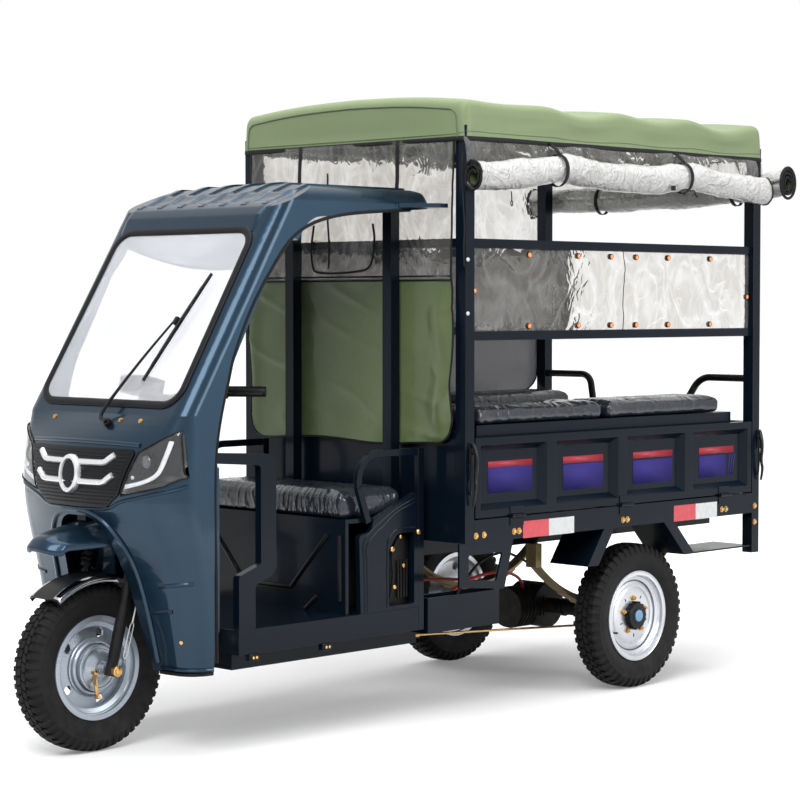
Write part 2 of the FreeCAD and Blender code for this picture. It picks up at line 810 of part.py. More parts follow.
def chassis_frame():
    top = bed_bottom
    solids = [nose_bracket()]
    for side in (-1, 1):
        x = side * rail_x
        solids.append(block(x - rail_half_width, x + rail_half_width, behind(rail_front),
                            behind(box_length + box_front), top - rail_height, top))
        solids.append(block(x - rail_half_width, x + rail_half_width, behind(rail_front),
                            behind(rail_front + rail_height), cab_rail_bottom, top))
        solids.append(block(x - rail_half_width, x + rail_half_width, behind(down_tube_y - down_tube_half),
                            behind(rail_front + rail_height), cab_rail_bottom, cab_rail_top))
    for share in cross_shares:
        y = behind(box_front + share * box_length)
        solids.append(block(-rail_x, rail_x, y - rail_half_width, y + rail_half_width,
                            top - rail_height, top - rail_height / 3.0))
    solids.append(block(-rail_x, rail_x, behind(down_tube_y - down_tube_half),
                        behind(down_tube_y + down_tube_half), cab_rail_bottom, cab_rail_top))
    solids.append(block(-rail_x, rail_x, behind(rail_front - rail_height), behind(rail_front),
                        cab_rail_bottom, cab_rail_top))
    head_mid = on_steer((head_low + head_high) / 2.0)
    solids.append(bent_bar([
        (V(0, behind(down_tube_y), cab_rail_bottom + rail_height / 2.0), 0),
        (V(0, behind(down_tube_y), head_mid.z - rail_height), rail_height),
        (head_mid, 0)], down_tube_half, down_tube_half))
    frame = fused(solids).fuse(rod(on_steer(head_low), on_steer(head_high), head_outer))
    return frame.cut(rod(on_steer(head_low - head_outer), on_steer(head_high + head_outer),
                         stem_radius + head_bore_gap)).removeSplitter()


# Cab floor, firewall and the driver's seat.
floor_front = 283.0
floor_rear = 1105.0
floor_half = cab_half_width
floor_plate = 16.0
firewall_y = 302.0
firewall_thickness = 18.0
firewall_wing = 150.0
firewall_slot_below = 110.0
seat_front = 775.0
seat_rear = 1105.0
seat_top = 715.0
seat_wall = 14.0
cushion_height = 98.0
cushion_front = 758.0
cushion_rear = 1075.0
cushion_half = 412.0
panel_thickness = 20.0


def floor_pan():
    body = block(-floor_half, floor_half, behind(floor_front), behind(floor_rear), floor_bottom, floor_top)
    hollow = block(-floor_half + floor_plate, floor_half - floor_plate, behind(floor_front) + floor_plate,
                   behind(floor_rear) - floor_plate, floor_bottom - overrun, floor_top - floor_plate)
    tunnel = block(-down_tube_half - panel_gap, down_tube_half + panel_gap,
                   behind(down_tube_y - down_tube_half) - panel_gap,
                   behind(down_tube_y + down_tube_half) + panel_gap, floor_bottom, floor_top + overrun)
    return body.cut(hollow).cut(tunnel)


def firewall():
    wing_x = cab_half_width - cab_wall
    half = wing_x - firewall_wing
    t = firewall_thickness
    front = behind(firewall_y)
    wing_y = behind(door_edge[0][0]) - t
    plan = [(-wing_x, wing_y), (-half, front), (half, front), (wing_x, wing_y),
            (wing_x, wing_y + 2.0 * t), (half + t / 2.0, front + t), (-half - t / 2.0, front + t),
            (-wing_x, wing_y + 2.0 * t)]
    points = [V(x, y, floor_top) for x, y in plan]
    points.append(points[0])
    top = guard_top - guard_top_strip - guard_inner_corner
    plate = Part.Face(Part.makePolygon(points)).extrude(V(0, 0, top - floor_top))
    head_mid = on_steer((head_low + head_high) / 2.0)
    slot_half = down_tube_half + running_gap
    slot = block(-slot_half, slot_half, front - overrun, front + 2.0 * t,
                 head_mid.z - firewall_slot_below, head_mid.z + down_tube_half)
    return plate.cut(slot).common(cab_solid(-cab_wall - seat_gap, overrun))


seat_panel_outline = [
    (828.0, 337.0, 12.0), (1105.0, 337.0, 0), (1105.0, 797.0, 14.0),
    (889.0, 710.0, 20.0), (876.0, 670.0, 14.0), (820.0, 660.0, 14.0),
]
seat_panel_window = [
    (961.0, floor_top + 14.0, 8.0), (1084.0, floor_top + 14.0, 8.0), (1084.0, 655.0, 12.0),
    (1000.0, 655.0, 40.0), (961.0, 600.0, 30.0),
]


def seat_panel():
    outer = side_prism([(behind(d), z, r) for d, z, r in seat_panel_outline],
                       floor_half - panel_thickness, floor_half)
    window = side_prism([(behind(d), z, r) for d, z, r in seat_panel_window],
                        floor_half - 2.0 * panel_thickness, floor_half + panel_thickness)
    floor_room = block(0, floor_half + overrun, behind(floor_front), behind(floor_rear),
                       floor_bottom - overrun, floor_top)
    return outer.cut(window).cut(floor_room)


def seat_box():
    inner = floor_half - panel_thickness
    front = block(-inner, inner, behind(seat_front), behind(seat_front) + seat_wall, floor_top, seat_top)
    top = block(-inner, inner, behind(seat_front), behind(seat_rear), seat_top - seat_wall, seat_top)
    rear = block(-inner, inner, behind(seat_rear) - seat_wall, behind(seat_rear), floor_top, seat_top)
    panel = seat_panel()
    return fused([front, top, rear, panel, mirrored(panel)])


def driver_cushion():
    body = block(-cushion_half, cushion_half, behind(cushion_front), behind(cushion_rear),
                 seat_top + soft_gap, seat_top + soft_gap + cushion_height)
    inner = floor_half - panel_thickness - soft_gap
    width = block(-inner, inner, behind(cushion_front) - overrun, behind(cushion_rear) + overrun,
                  seat_top, seat_top + 2.0 * cushion_height)
    body = body.common(width)
    upper = [e for e in body.Edges if e.BoundBox.ZMin > seat_top + cushion_height / 2.0]
    return body.makeFillet(cushion_height / 4.0, upper)


battery_half_width = 250.0
battery_front = 800.0
battery_depth = 250.0
battery_height = 235.0


def battery_box():
    return block(-battery_half_width, battery_half_width, behind(battery_front),
                 behind(battery_front + battery_depth), floor_top, floor_top + battery_height)


# Armrest loops, guard frames and rear posts of the cab.
arm_half_width = 9.0
arm_half_depth = 12.0
arm_x = 394.0
arm_top = 930.0
arm_rear = 1120.0
arm_front = 786.0
arm_seat_y = 868.0
arm_seat_z = 700.0
arm_radius = 90.0
stay_half = 10.5
stay_depth = 28.0


def armrest():
    bar = bent_bar([
        (V(arm_x, behind(arm_rear), arm_top), 0),
        (V(arm_x, behind(arm_front), arm_top), arm_radius),
        (V(arm_x, behind(arm_seat_y), arm_seat_z), 0)], arm_half_width, arm_half_depth)
    stay = block(arm_x - stay_half, arm_x + stay_half, behind(seat_rear), behind(seat_rear) + stay_depth,
                 floor_bottom, arm_top + arm_half_depth)
    return bar.cut(seat_panel_room()).fuse(stay).removeSplitter()


def seat_panel_room():
    return side_prism([(behind(d), z, r) for d, z, r in seat_panel_outline],
                      floor_half - 2.0 * panel_thickness, floor_half + overrun)


guard_thick = 28.0
guard_x = cab_half_width
guard_strip = 66.0
guard_top = 966.0
guard_rear = 445.0
guard_low = 535.0
guard_post_front = 284.0
guard_post_rear = 355.0
guard_corner = 42.0
guard_inner_corner = 14.0
guard_top_strip = 34.0


def side_guard():
    start = door_edge[0][0]
    outline = [
        (start, guard_top - guard_top_strip, 0), (start, guard_top, 0),
        (guard_rear, guard_top - guard_inner_corner, guard_corner),
        (guard_rear, guard_low + guard_strip / 2.0, guard_corner),
        (guard_post_rear, guard_low, guard_inner_corner),
        (guard_post_rear, floor_top, 0), (guard_post_front, floor_top, 0),
        (guard_post_front, guard_low + guard_strip / 2.0, guard_inner_corner),
        (guard_rear - guard_strip, guard_low + guard_strip, guard_inner_corner),
        (guard_rear - guard_strip, guard_top - guard_top_strip - guard_inner_corner, guard_inner_corner),
    ]
    frame = side_prism([(behind(d), z, r) for d, z, r in outline], guard_x - guard_thick, guard_x)
    return frame.common(door_prism(seat_gap))


cab_post_x = 248.0
cab_post_half = 21.0
cab_post_y = 1130.0


def cab_posts():
    half = cab_post_half
    y0 = behind(cab_post_y) - half
    y1 = min(behind(cab_post_y) + half, behind(roof_rear))
    post = block(cab_post_x - half, cab_post_x + half, y0, y1, bed_bottom, roof_crest)
    foot = block(cab_post_x - half, cab_post_x + half, y0, behind(box_front),
                 bed_bottom, bed_bottom + 2.0 * half)
    beam = block(-cab_half_width, cab_half_width, y0, y1, door_edge_rear[1] + roof_wall, roof_crest)
    lift = block(-cab_half_width, cab_half_width, y0 - overrun, y1 + overrun, bed_bottom, door_edge_rear[1])
    inside = roof_solid(-roof_wall - seat_gap).fuse(lift)
    frame = fused([post, mirrored(post), beam]).common(inside)
    return fused([frame, foot, mirrored(foot)])


# The box: posts, rails, bed and boards.
post_size = 46.0
tail_post_bottom = 460.0
box_rail_height = 30.0
box_rail_depth = 22.0
bed_plate = 24.0
front_wall_thickness = 18.0
rail_lap = 6.0
board_thickness = 34.0
bed_rail_top = 695.0
board_bottom = 700.0
pocket_count = 4
pocket_depth = 24.0
pocket_margin = 25.0
pocket_bevel = 22.0
hoop_count = 5
hoop_half = 13.0
film_thickness = 3.0


def posts():
    solids = []
    for side in (-1, 1):
        for y in (box_front, box_rear - post_size):
            x0 = side * box_half_width
            x1 = side * (box_half_width - post_size)
            foot = bed_bottom if y == box_front else tail_post_bottom
            solids.append(block(min(x0, x1), max(x0, x1), behind(y), behind(y) + post_size,
                                foot, canopy_hem + post_size))
    return solids


def box_frame():
    solids = posts()
    inner = post_size - box_rail_depth
    for side in (-1, 1):
        for z in (rail_low_top, rail_high_top, canopy_hem + post_size):
            x0 = side * (box_half_width - inner / 2.0)
            x1 = side * (box_half_width - inner / 2.0 - box_rail_depth)
            solids.append(block(min(x0, x1), max(x0, x1), behind(box_front) + inner, behind(box_rear) - inner,
                                z - box_rail_height, z))
    for y, levels in ((box_front, (rail_high_top, canopy_hem + post_size)),
                      (box_rear - post_size, (canopy_hem + post_size,))):
        for z in levels:
            solids.append(block(-box_half_width + inner, box_half_width - inner, behind(y) + inner / 2.0,
                                behind(y) + inner / 2.0 + box_rail_depth, z - box_rail_height, z))
    hoop_low = canopy_hem + post_size - box_rail_height
    hoop_x = box_half_width - post_size
    hoop_top = canopy_crown - 2.0 * hoop_half - canopy_wall - soft_gap
    for i in range(hoop_count):
        y = behind(box_front) + post_size / 2.0 + i * (box_length - post_size) / (hoop_count - 1)
        hoop_shoulder = canopy_shoulder - hoop_half - canopy_wall - 4.0 * overrun
        solids.append(bent_bar([
            (V(-hoop_x, y, hoop_low), 0), (V(-hoop_x, y, hoop_shoulder), 2.0 * hoop_half),
            (V(0, y, hoop_top), 20.0 * hoop_half),
            (V(hoop_x, y, hoop_shoulder), 2.0 * hoop_half), (V(hoop_x, y, hoop_low), 0)],
            hoop_half, hoop_half))
    return fused(solids)


def bed():
    floor = block(-box_half_width + post_size, box_half_width - post_size, behind(box_front) + post_size,
                  behind(box_rear) - post_size, bed_bottom, bed_bottom + bed_plate)
    edges = []
    for side in (-1, 1):
        x0 = side * box_half_width
        x1 = side * (box_half_width - post_size - rail_lap)
        edges.append(block(min(x0, x1), max(x0, x1), behind(box_front) + post_size,
                           behind(box_rear) - post_size, bed_bottom, bed_rail_top))
        for share in side_hinge_shares:
            leaf = fixed_leaf()
            leaf.translate(V(box_half_width, side_hinge_y(share), board_bottom - hinge_drop))
            edges.append(leaf if side > 0 else mirrored(leaf))
    edges.append(block(-box_half_width + post_size, box_half_width - post_size, behind(box_rear) - post_size,
                       behind(box_rear), bed_bottom, bed_rail_top))
    for i in range(tail_hinge_count):
        edges.append(to_tail(fixed_leaf(), i))
    wall = block(-box_half_width + post_size, box_half_width - post_size, behind(box_front),
                 behind(box_front) + front_wall_thickness, bed_bottom, bed_top)
    link = block(-box_half_width + post_size, box_half_width - post_size, behind(box_front),
                 behind(box_front) + post_size, bed_bottom, bed_bottom + bed_plate)
    return fused([floor, wall, link] + edges)


# Butt hinges of the boards: a barrel proud of the outer face, at the board's lower edge.
hinge_length = 70.0
hinge_barrel = 7.0
hinge_pin = 3.5
hinge_out = 8.0
hinge_drop = 2.0
hinge_leaf = 3.0
hinge_height = 34.0
hinge_middle_share = 0.46
hinge_side_gap = 1.0
side_hinge_shares = (0.155, 0.509, 0.864)
tail_hinge_count = 2


def side_hinge_y(share):
    return behind(box_front) + box_length * share - hinge_length / 2.0


def to_tail(shape, i):
    """Turn a side hinge piece to the rear and put it at tailgate hinge i."""
    width = 2.0 * (box_half_width - post_size)
    turned = shape.copy()
    turned.rotate(V(0, 0, 0), V(0, 0, 1), 90)
    x = -width / 2.0 + width * (2.0 * i + 1.0) / (2.0 * tail_hinge_count) + hinge_length / 2.0
    turned.translate(V(x, behind(box_rear), board_bottom - hinge_drop))
    return turned


def middle_span():
    reach = hinge_length * hinge_middle_share / 2.0
    return hinge_length / 2.0 - reach, hinge_length / 2.0 + reach


def fixed_leaf():
    """The hinge half bolted to the rail: axis at X = hinge_out, Z = 0, along Y."""
    low, high = middle_span()
    bare = hinge_barrel + hinge_drop
    plate = block(0, hinge_leaf, 0, hinge_length, -hinge_height, -bare)
    solids = [plate, rod(V(hinge_out, 0, 0), V(hinge_out, hinge_length, 0), hinge_pin)]
    for y0, y1 in ((0, low - hinge_side_gap), (high + hinge_side_gap, hinge_length)):
        solids.append(block(0, hinge_leaf, y0, y1, -bare - hinge_leaf, 0))
        solids.append(rod(V(hinge_out, y0, 0), V(hinge_out, y1, 0), hinge_barrel))
    return fused(solids)


def moving_leaf():
    low, high = middle_span()
    bare = hinge_barrel + hinge_drop
    plate = block(0, hinge_leaf, 0, hinge_length, bare, hinge_height)
    tongue = block(0, hinge_leaf, low, high, 0, bare + hinge_leaf)
    barrel = rod(V(hinge_out, low, 0), V(hinge_out, high, 0), hinge_barrel)
    bore = rod(V(hinge_out, low - overrun, 0), V(hinge_out, high + overrun, 0), hinge_pin + pin_clearance)
    return fused([plate, tongue, barrel]).cut(bore)


def pocketed(length, height, count, thickness):
    """A board from 0 to length in Y and 0 to height in Z, its outer face at X = 0."""
    board = block(-thickness, 0, 0, length, 0, height)
    pitch = length / count
    for i in range(count):
        low = V(0, i * pitch + pocket_margin, pocket_margin)
        high = V(0, (i + 1) * pitch - pocket_margin, height - pocket_margin)
        outer = Part.makePolygon([V(overrun * 0.1, low.y, low.z), V(overrun * 0.1, high.y, low.z),
                                  V(overrun * 0.1, high.y, high.z), V(overrun * 0.1, low.y, high.z),
                                  V(overrun * 0.1, low.y, low.z)])
        b = pocket_bevel
        inner = Part.makePolygon([V(-pocket_depth, low.y + b, low.z + b),
                                  V(-pocket_depth, high.y - b, low.z + b),
                                  V(-pocket_depth, high.y - b, high.z - b),
                                  V(-pocket_depth, low.y + b, high.z - b),
                                  V(-pocket_depth, low.y + b, low.z + b)])
        board = board.cut(Part.makeLoft([outer, inner], True, True))
    return board


def side_board():
    length = box_length - 2.0 * post_size - 2.0 * running_gap
    height = bed_top - board_bottom
    board = pocketed(length, height, pocket_count, board_thickness)
    board.translate(V(box_half_width, behind(box_front) + post_size + running_gap, board_bottom))
    leaves = []
    for share in side_hinge_shares:
        leaf = moving_leaf()
        leaf.translate(V(box_half_width, side_hinge_y(share), board_bottom - hinge_drop))
        leaves.append(leaf)
    return fused([board] + leaves)


def tailgate():
    length = 2.0 * (box_half_width - post_size - running_gap)
    height = bed_top - board_bottom
    board = pocketed(length, height, pocket_count - 1, board_thickness)
    board.rotate(V(0, 0, 0), V(0, 0, 1), 90)
    board.translate(V(length / 2.0, behind(box_rear), board_bottom))
    return fused([board] + [to_tail(moving_leaf(), i) for i in range(tail_hinge_count)])


# Canopy: a closed tarpaulin cap over the hoops.
canopy_wall = 6.0
canopy_over = 8.0
canopy_end_over = 12.0
canopy_lean = 4.0
canopy_corner = 24.0


def canopy_solid(grow, z0):
    w = box_half_width + canopy_over + grow
    top_w = w - canopy_lean
    outline = [(-w, z0, 0), (w, z0, 0), (top_w, canopy_shoulder + grow, canopy_corner),
               (0, canopy_crown + grow, 4.0 * box_half_width),
               (-top_w, canopy_shoulder + grow, canopy_corner)]
    return front_prism(outline, behind(box_front) - canopy_end_over - grow,
                       behind(box_rear) + canopy_end_over + grow)


def canopy():
    return canopy_solid(0.0, canopy_hem).cut(canopy_solid(-canopy_wall, canopy_hem - overrun))


# Curtains, rolls and clear films.
curtain_thickness = 6.0
curtain_side_inset = 46.0
curtain_half = box_half_width - curtain_side_inset
curtain_bottom = 948.0
curtain_corner = 60.0
curtain_front_inset = 65.0
curtain_rear_inset = 39.0
right_curtain_front = box_front + curtain_front_inset
right_curtain_rear = box_rear - curtain_rear_inset
right_curtain_bottom = 1069.0


def front_curtain():
    return front_prism([
        (-curtain_half, curtain_bottom, curtain_corner), (curtain_half, curtain_bottom, curtain_corner),
        (curtain_half, canopy_hem - soft_gap, 0), (-curtain_half, canopy_hem - soft_gap, 0)],
        behind(box_front) - canopy_end_over, behind(box_front) - canopy_end_over + curtain_thickness)


def right_curtain():
    x = box_half_width + soft_gap
    body = side_prism([
        (behind(right_curtain_front), right_curtain_bottom, curtain_corner),
        (behind(right_curtain_rear), right_curtain_bottom, curtain_corner),
        (behind(right_curtain_rear), canopy_hem - soft_gap, 0),
        (behind(right_curtain_front), canopy_hem - soft_gap, 0)], x, x + curtain_thickness)
    return mirrored(body)


def side_roll():
    cx = box_half_width + roll_gap + side_roll_width / 2.0
    cz = canopy_hem - side_roll_drop - side_roll_height / 2.0
    y0 = behind(box_front - side_roll_front)
    y1 = behind(box_rear - post_size)
    roll = front_prism(oval_corners(cx, cz, side_roll_width / 2.0, side_roll_height / 2.0), y0, y1)
    x = box_half_width + soft_gap
    web = block(x, x + curtain_thickness, y0, y1, cz, canopy_hem - soft_gap)
    join = block(x, cx, y0, y1, cz - curtain_thickness / 2.0, cz + curtain_thickness / 2.0)
    return fused([roll, web, join])


def rear_roll():
    cy = box_rear + roll_gap + rear_roll_width / 2.0
    cz = canopy_hem - side_roll_drop - side_roll_height / 2.0
    corners = oval_corners(behind(cy), cz, rear_roll_width / 2.0, rear_roll_height / 2.0)
    roll = side_prism(corners, -rear_roll_half_length, rear_roll_half_length)
    y = behind(box_rear) + soft_gap
    half = box_half_width - soft_gap
    web = block(-half, half, y, y + curtain_thickness, cz, canopy_hem - soft_gap)
    join = block(-half, half, y, behind(cy), cz - curtain_thickness / 2.0, cz + curtain_thickness / 2.0)
    return fused([roll, web, join])


def infill_film():
    x = box_half_width - (post_size - box_rail_depth) / 2.0 - box_rail_depth / 2.0
    return block(x - film_thickness / 2.0, x + film_thickness / 2.0, behind(box_front) + post_size + soft_gap,
                 behind(box_rear) - post_size - soft_gap, rail_low_top + soft_gap,
                 rail_high_top - box_rail_height - soft_gap)


# Benches along the box sides.
bench_inner = 255.0
bench_wall_gap = 58.0
bench_outer = box_half_width - bench_wall_gap
bench_front_inset = 120.0
bench_rear_inset = 155.0
bench_front = box_front + bench_front_inset
bench_rear = box_rear - bench_rear_inset
bench_base_over = 45.0
bench_cushion_height = 62.0
bench_seat = 1014.0
bench_board = 18.0
bench_skirt = 60.0
bench_leg_half = 14.0
bench_leg_inset = 40.0


def bench_base():
    top = block(bench_inner, bench_outer, behind(bench_front), behind(bench_rear) + bench_base_over,
                bench_seat - bench_board, bench_seat)
    skirt = block(bench_outer - bench_board, bench_outer, behind(bench_front),
                  behind(bench_rear) + bench_base_over, bench_seat - bench_skirt, bench_seat)
    legs = [skirt]
    first = bench_front + bench_leg_inset
    last = bench_rear - bench_leg_inset
    for d in (first, (first + last) / 2.0, last):
        for x in (bench_inner + 2.0 * bench_leg_half, bench_outer - 2.0 * bench_leg_half):
            legs.append(block(x - bench_leg_half, x + bench_leg_half, behind(d) - bench_leg_half,
                              behind(d) + bench_leg_half, bed_bottom + bed_plate, bench_seat))
    return fused([top] + legs)


def bench_cushion():
    body = block(bench_inner, bench_outer, behind(bench_front), behind(bench_rear),
                 bench_seat + soft_gap, bench_seat + soft_gap + bench_cushion_height)
    edges = [e for e in body.Edges if e.BoundBox.ZMin > bench_seat + bench_cushion_height / 2.0]
    return body.makeFillet(bench_cushion_height / 4.0, edges)


# Rear handrails.
grab_half = 14.0
grab_top = 1142.0
grab_inner = 285.0
grab_foot_x = 235.0
grab_foot_z = 1030.0


def handrail():
    y = behind(box_rear) - post_size / 2.0
    leg_y = behind(box_rear) - post_size - grab_half - seat_gap
    return bent_bar([
        (V(box_half_width - post_size, y, grab_top), 0), (V(grab_inner, y, grab_top), 5.0 * grab_half),
        (V(grab_foot_x, leg_y, grab_foot_z), 4.0 * grab_half),
        (V(grab_foot_x, leg_y, bed_bottom + bed_plate), 0)], grab_half)


# Rear axle, springs and brake rod.
axle_tube_radius = 29.0
axle_tube_half = 398.0
diff_radius = 86.0
diff_half = 70.0
motor_radius = 76.0
motor_length = 170.0
spring_x = 330.0
spring_half_width = 25.0
spring_leaf = 8.0
spring_leaves = 4
spring_half_length = 380.0
spring_eye_z = 470.0
spring_seat_z = 318.0
hub_pin_reach = 516.0


def rear_axle():
    y = rear_axle_y
    z = tyre_radius
    solids = [rod(V(-axle_tube_half, y, z), V(axle_tube_half, y, z), axle_tube_radius),
              rod(V(-diff_half, y, z), V(diff_half, y, z), diff_radius),
              rod(V(0, y, z), V(0, y - motor_length, z), motor_radius),
              rod(V(-hub_pin_reach, y, z), V(hub_pin_reach, y, z), axle_pin_radius)]
    return fused(solids)


def leaf_spring():
    solids = []
    for i in range(spring_leaves):
        half = spring_half_length * (1.0 - 0.2 * i)
        rise = (spring_eye_z - spring_seat_z) * (half / spring_half_length) ** 2
        low = spring_seat_z - i * spring_leaf
        ends = [V(0, -half, low + rise), V(0, 0, low), V(0, half, low + rise)]
        upper = [p + V(0, 0, spring_leaf) for p in ends]
        wire = Part.Wire([
            Part.Arc(*ends).toShape(), Part.LineSegment(ends[2], upper[2]).toShape(),
            Part.Arc(upper[2], upper[1], upper[0]).toShape(), Part.LineSegment(upper[0], ends[0]).toShape()])
        leaf = Part.Face(wire).extrude(V(2.0 * spring_half_width, 0, 0))
        leaf.translate(V(spring_x - spring_half_width, rear_axle_y, 0))
        solids.append(leaf)
    seat = block(spring_x - spring_half_width, spring_x + spring_half_width, rear_axle_y - spring_half_width,
                 rear_axle_y + spring_half_width, tyre_radius + axle_tube_radius - overrun / 2.0,
                 spring_seat_z)
    for side in (-1, 1):
        y = rear_axle_y + side * spring_half_length
        hanger = block(spring_x - spring_half_width, spring_x + spring_half_width,
                       y - 3.0 * spring_leaf, y + spring_leaf, spring_eye_z, bed_bottom - rail_height)
        solids.append(hanger)
    middle = V(0, rear_axle_y, tyre_radius)
    axle_room = rod(middle, middle + V(axle_tube_half, 0, 0), axle_tube_radius)
    return fused(solids + [seat]).cut(axle_room)


# Mud plates ahead of and behind the rear wheels, and the box's front brackets.
plate_x0 = 372.0
plate_thickness = 6.0
plate_lip = 62.0
plate_inset = 5.0
plate_ahead_top = 255.0
plate_ahead_foot = 348.0
plate_behind_top = 98.0
plate_behind_foot = 225.0
plate_foot_z = 485.0
plate_ahead = ((wheelbase - plate_ahead_top, bed_bottom), (wheelbase - plate_ahead_foot, plate_foot_z))
plate_behind = ((wheelbase + plate_behind_top, bed_bottom), (wheelbase + plate_behind_foot, plate_foot_z))
tray_end_gap = 46.3


def folded_plate(corners, lip):
    """A sloping plate across, from its top to its foot, with a lip at its outer end."""
    (top_y, top_z), (foot_y, foot_z) = corners
    t = plate_thickness
    x1 = box_half_width - plate_inset
    plate = side_prism([(behind(top_y), top_z, 0), (behind(top_y) + t, top_z, 0),
                        (behind(foot_y) + t, foot_z, 0), (behind(foot_y), foot_z, 0)], plate_x0, x1)
    edge = side_prism([(behind(top_y), top_z, 0), (behind(top_y) + lip, top_z, 0),
                       (behind(foot_y) + lip, foot_z, 0), (behind(foot_y), foot_z, 0)], x1 - t, x1)
    return plate.fuse(edge).removeSplitter()


def mud_plates():
    ahead = folded_plate(plate_ahead, plate_lip)
    rear = folded_plate(plate_behind, plate_lip)
    tray = block(plate_x0, box_half_width - plate_inset, behind(plate_behind[1][0]),
                 behind(box_rear) - tray_end_gap, plate_behind[1][1], plate_behind[1][1] + plate_thickness)
    return [ahead, rear.fuse(tray).removeSplitter()]


# Shallow open trays outside the chassis drop, behind the cab floor.
skirt_front = 1152.0
skirt_rear = 1519.0
skirt_bottom = 297.0
skirt_top = 420.0
skirt_wall = 4.0


def side_skirt():
    x0 = rail_x + rail_half_width + seat_gap
    outer = block(x0, cab_half_width, behind(skirt_front), behind(skirt_rear), skirt_bottom, skirt_top)
    inner = block(x0 + skirt_wall, cab_half_width - skirt_wall, behind(skirt_front) + skirt_wall,
                  behind(skirt_rear) - skirt_wall, skirt_bottom + skirt_wall, skirt_top + overrun)
    return outer.cut(inner)


bracket_outline = [
    (1152.0, 617.0, 0), (1428.0, 617.0, 0), (1382.0, 447.0, 10.0), (1152.0, 468.0, 8.0)]
bracket_window = [(1198.0, 575.0, 8.0), (1372.0, 575.0, 8.0), (1340.0, 478.0, 8.0), (1198.0, 490.0, 8.0)]
bracket_thickness = 8.0


def front_bracket():
    x1 = box_half_width - plate_inset
    x0 = x1 - bracket_thickness
    outer = side_prism([(behind(d), z, r) for d, z, r in bracket_outline], x0, x1)
    window = side_prism([(behind(d), z, r) for d, z, r in bracket_window], x0 - overrun, x1 + overrun)
    return outer.cut(window)


save("cab_front", cab_front())
save("cab_roof", cab_roof())
save("windscreen", windscreen())
save("windscreen_seal", windscreen_seal())
save("grille", grille())
save("grille_trim", grille_trim())
save("headlamps", both_sides(headlamp()))
save("fender_beak", fender_beak())
save("front_tyre", tyre(0.0, front_axle_y))
save("front_rim", rim(0.0, front_axle_y, 1))
save("fork", fork())
save("handlebar", handlebar())
save("front_mudguard", front_mudguard())
save("chassis_frame", chassis_frame())
save("floor_pan", floor_pan())
save("firewall", firewall())
save("seat_box", seat_box())
save("driver_cushion", driver_cushion())
save("battery_box", battery_box())
save("armrests", both_sides(armrest()))
save("side_guards", both_sides(side_guard()))
save("cab_posts", cab_posts())
save("box_frame", box_frame())
save("bed", bed())
save("side_board_left", side_board())
save("side_board_right", mirrored(side_board()))
save("tailgate", tailgate())
save("canopy", canopy())
save("front_curtain", front_curtain())
save("right_curtain", right_curtain())
save("side_roll", side_roll())
save("rear_roll", rear_roll())
save("infill_films", both_sides(infill_film()))
save("bench_bases", both_sides(bench_base()))
save("bench_cushions", both_sides(bench_cushion()))
save("handrails", both_sides(handrail()))
save("rear_axle", rear_axle())
save("leaf_springs", both_sides(leaf_spring()))
plates = mud_plates()
save("mud_plates", Part.makeCompound(plates + [mirrored(p) for p in plates]))
save("front_brackets", both_sides(front_bracket()))
save("side_skirts", both_sides(side_skirt()))
for name, side in (("left", 1), ("right", -1)):
    save("rear_tyre_" + name, tyre(side * rear_track_half, rear_axle_y))
    save("rear_rim_" + name, rim(side * rear_track_half, rear_axle_y, side))
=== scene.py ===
"""The finished look of a three-wheeled auto rickshaw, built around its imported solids."""

from math import atan2, copysign, cos, exp, log, pi, radians, sin, sqrt

import bmesh
import bpy
import numpy as np
from mathutils import Matrix, Vector, noise
from mathutils.bvhtree import BVHTree


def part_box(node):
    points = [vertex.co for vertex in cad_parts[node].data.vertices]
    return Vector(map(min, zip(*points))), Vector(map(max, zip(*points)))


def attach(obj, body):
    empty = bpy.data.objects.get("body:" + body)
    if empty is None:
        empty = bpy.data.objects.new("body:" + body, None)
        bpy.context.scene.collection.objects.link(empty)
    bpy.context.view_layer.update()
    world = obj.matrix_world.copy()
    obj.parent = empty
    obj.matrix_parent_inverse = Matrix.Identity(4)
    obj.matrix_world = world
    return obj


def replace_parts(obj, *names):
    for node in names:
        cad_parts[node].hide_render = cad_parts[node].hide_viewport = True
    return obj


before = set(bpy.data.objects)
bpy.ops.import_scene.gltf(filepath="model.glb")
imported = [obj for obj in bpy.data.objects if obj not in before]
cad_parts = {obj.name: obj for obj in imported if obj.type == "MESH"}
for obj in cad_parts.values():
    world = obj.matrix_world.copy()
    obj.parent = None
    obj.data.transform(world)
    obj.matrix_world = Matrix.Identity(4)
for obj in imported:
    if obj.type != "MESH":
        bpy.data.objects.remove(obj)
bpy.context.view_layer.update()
scene = bpy.context.scene

# Driving places, read from the solids, in metres.
front_low, front_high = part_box("front_tyre")
axle_y = (front_low.y + front_high.y) / 2
tyre_radius = (front_high.z - front_low.z) / 2
rear_low, rear_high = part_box("rear_tyre_left")
rear_axle_y = (rear_low.y + rear_high.y) / 2
rear_track = (rear_low.x + rear_high.x) / 2
frame_low, frame_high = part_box("box_frame")
box_face_x = frame_high.x
box_front_y = frame_low.y
box_rear_y = frame_high.y
mm = 0.001
sharp_angle = radians(32)
left, up = Vector((1, 0, 0)), Vector((0, 0, 1))
sides = ((1, "left"), (-1, "right"))


def back(distance):
    """Y of a place given as a distance behind the front axle."""
    return axle_y + distance


def at(x, d, z):
    """A place by x, distance behind the front axle, and height."""
    return Vector((x, back(d), z))


# Small makers.

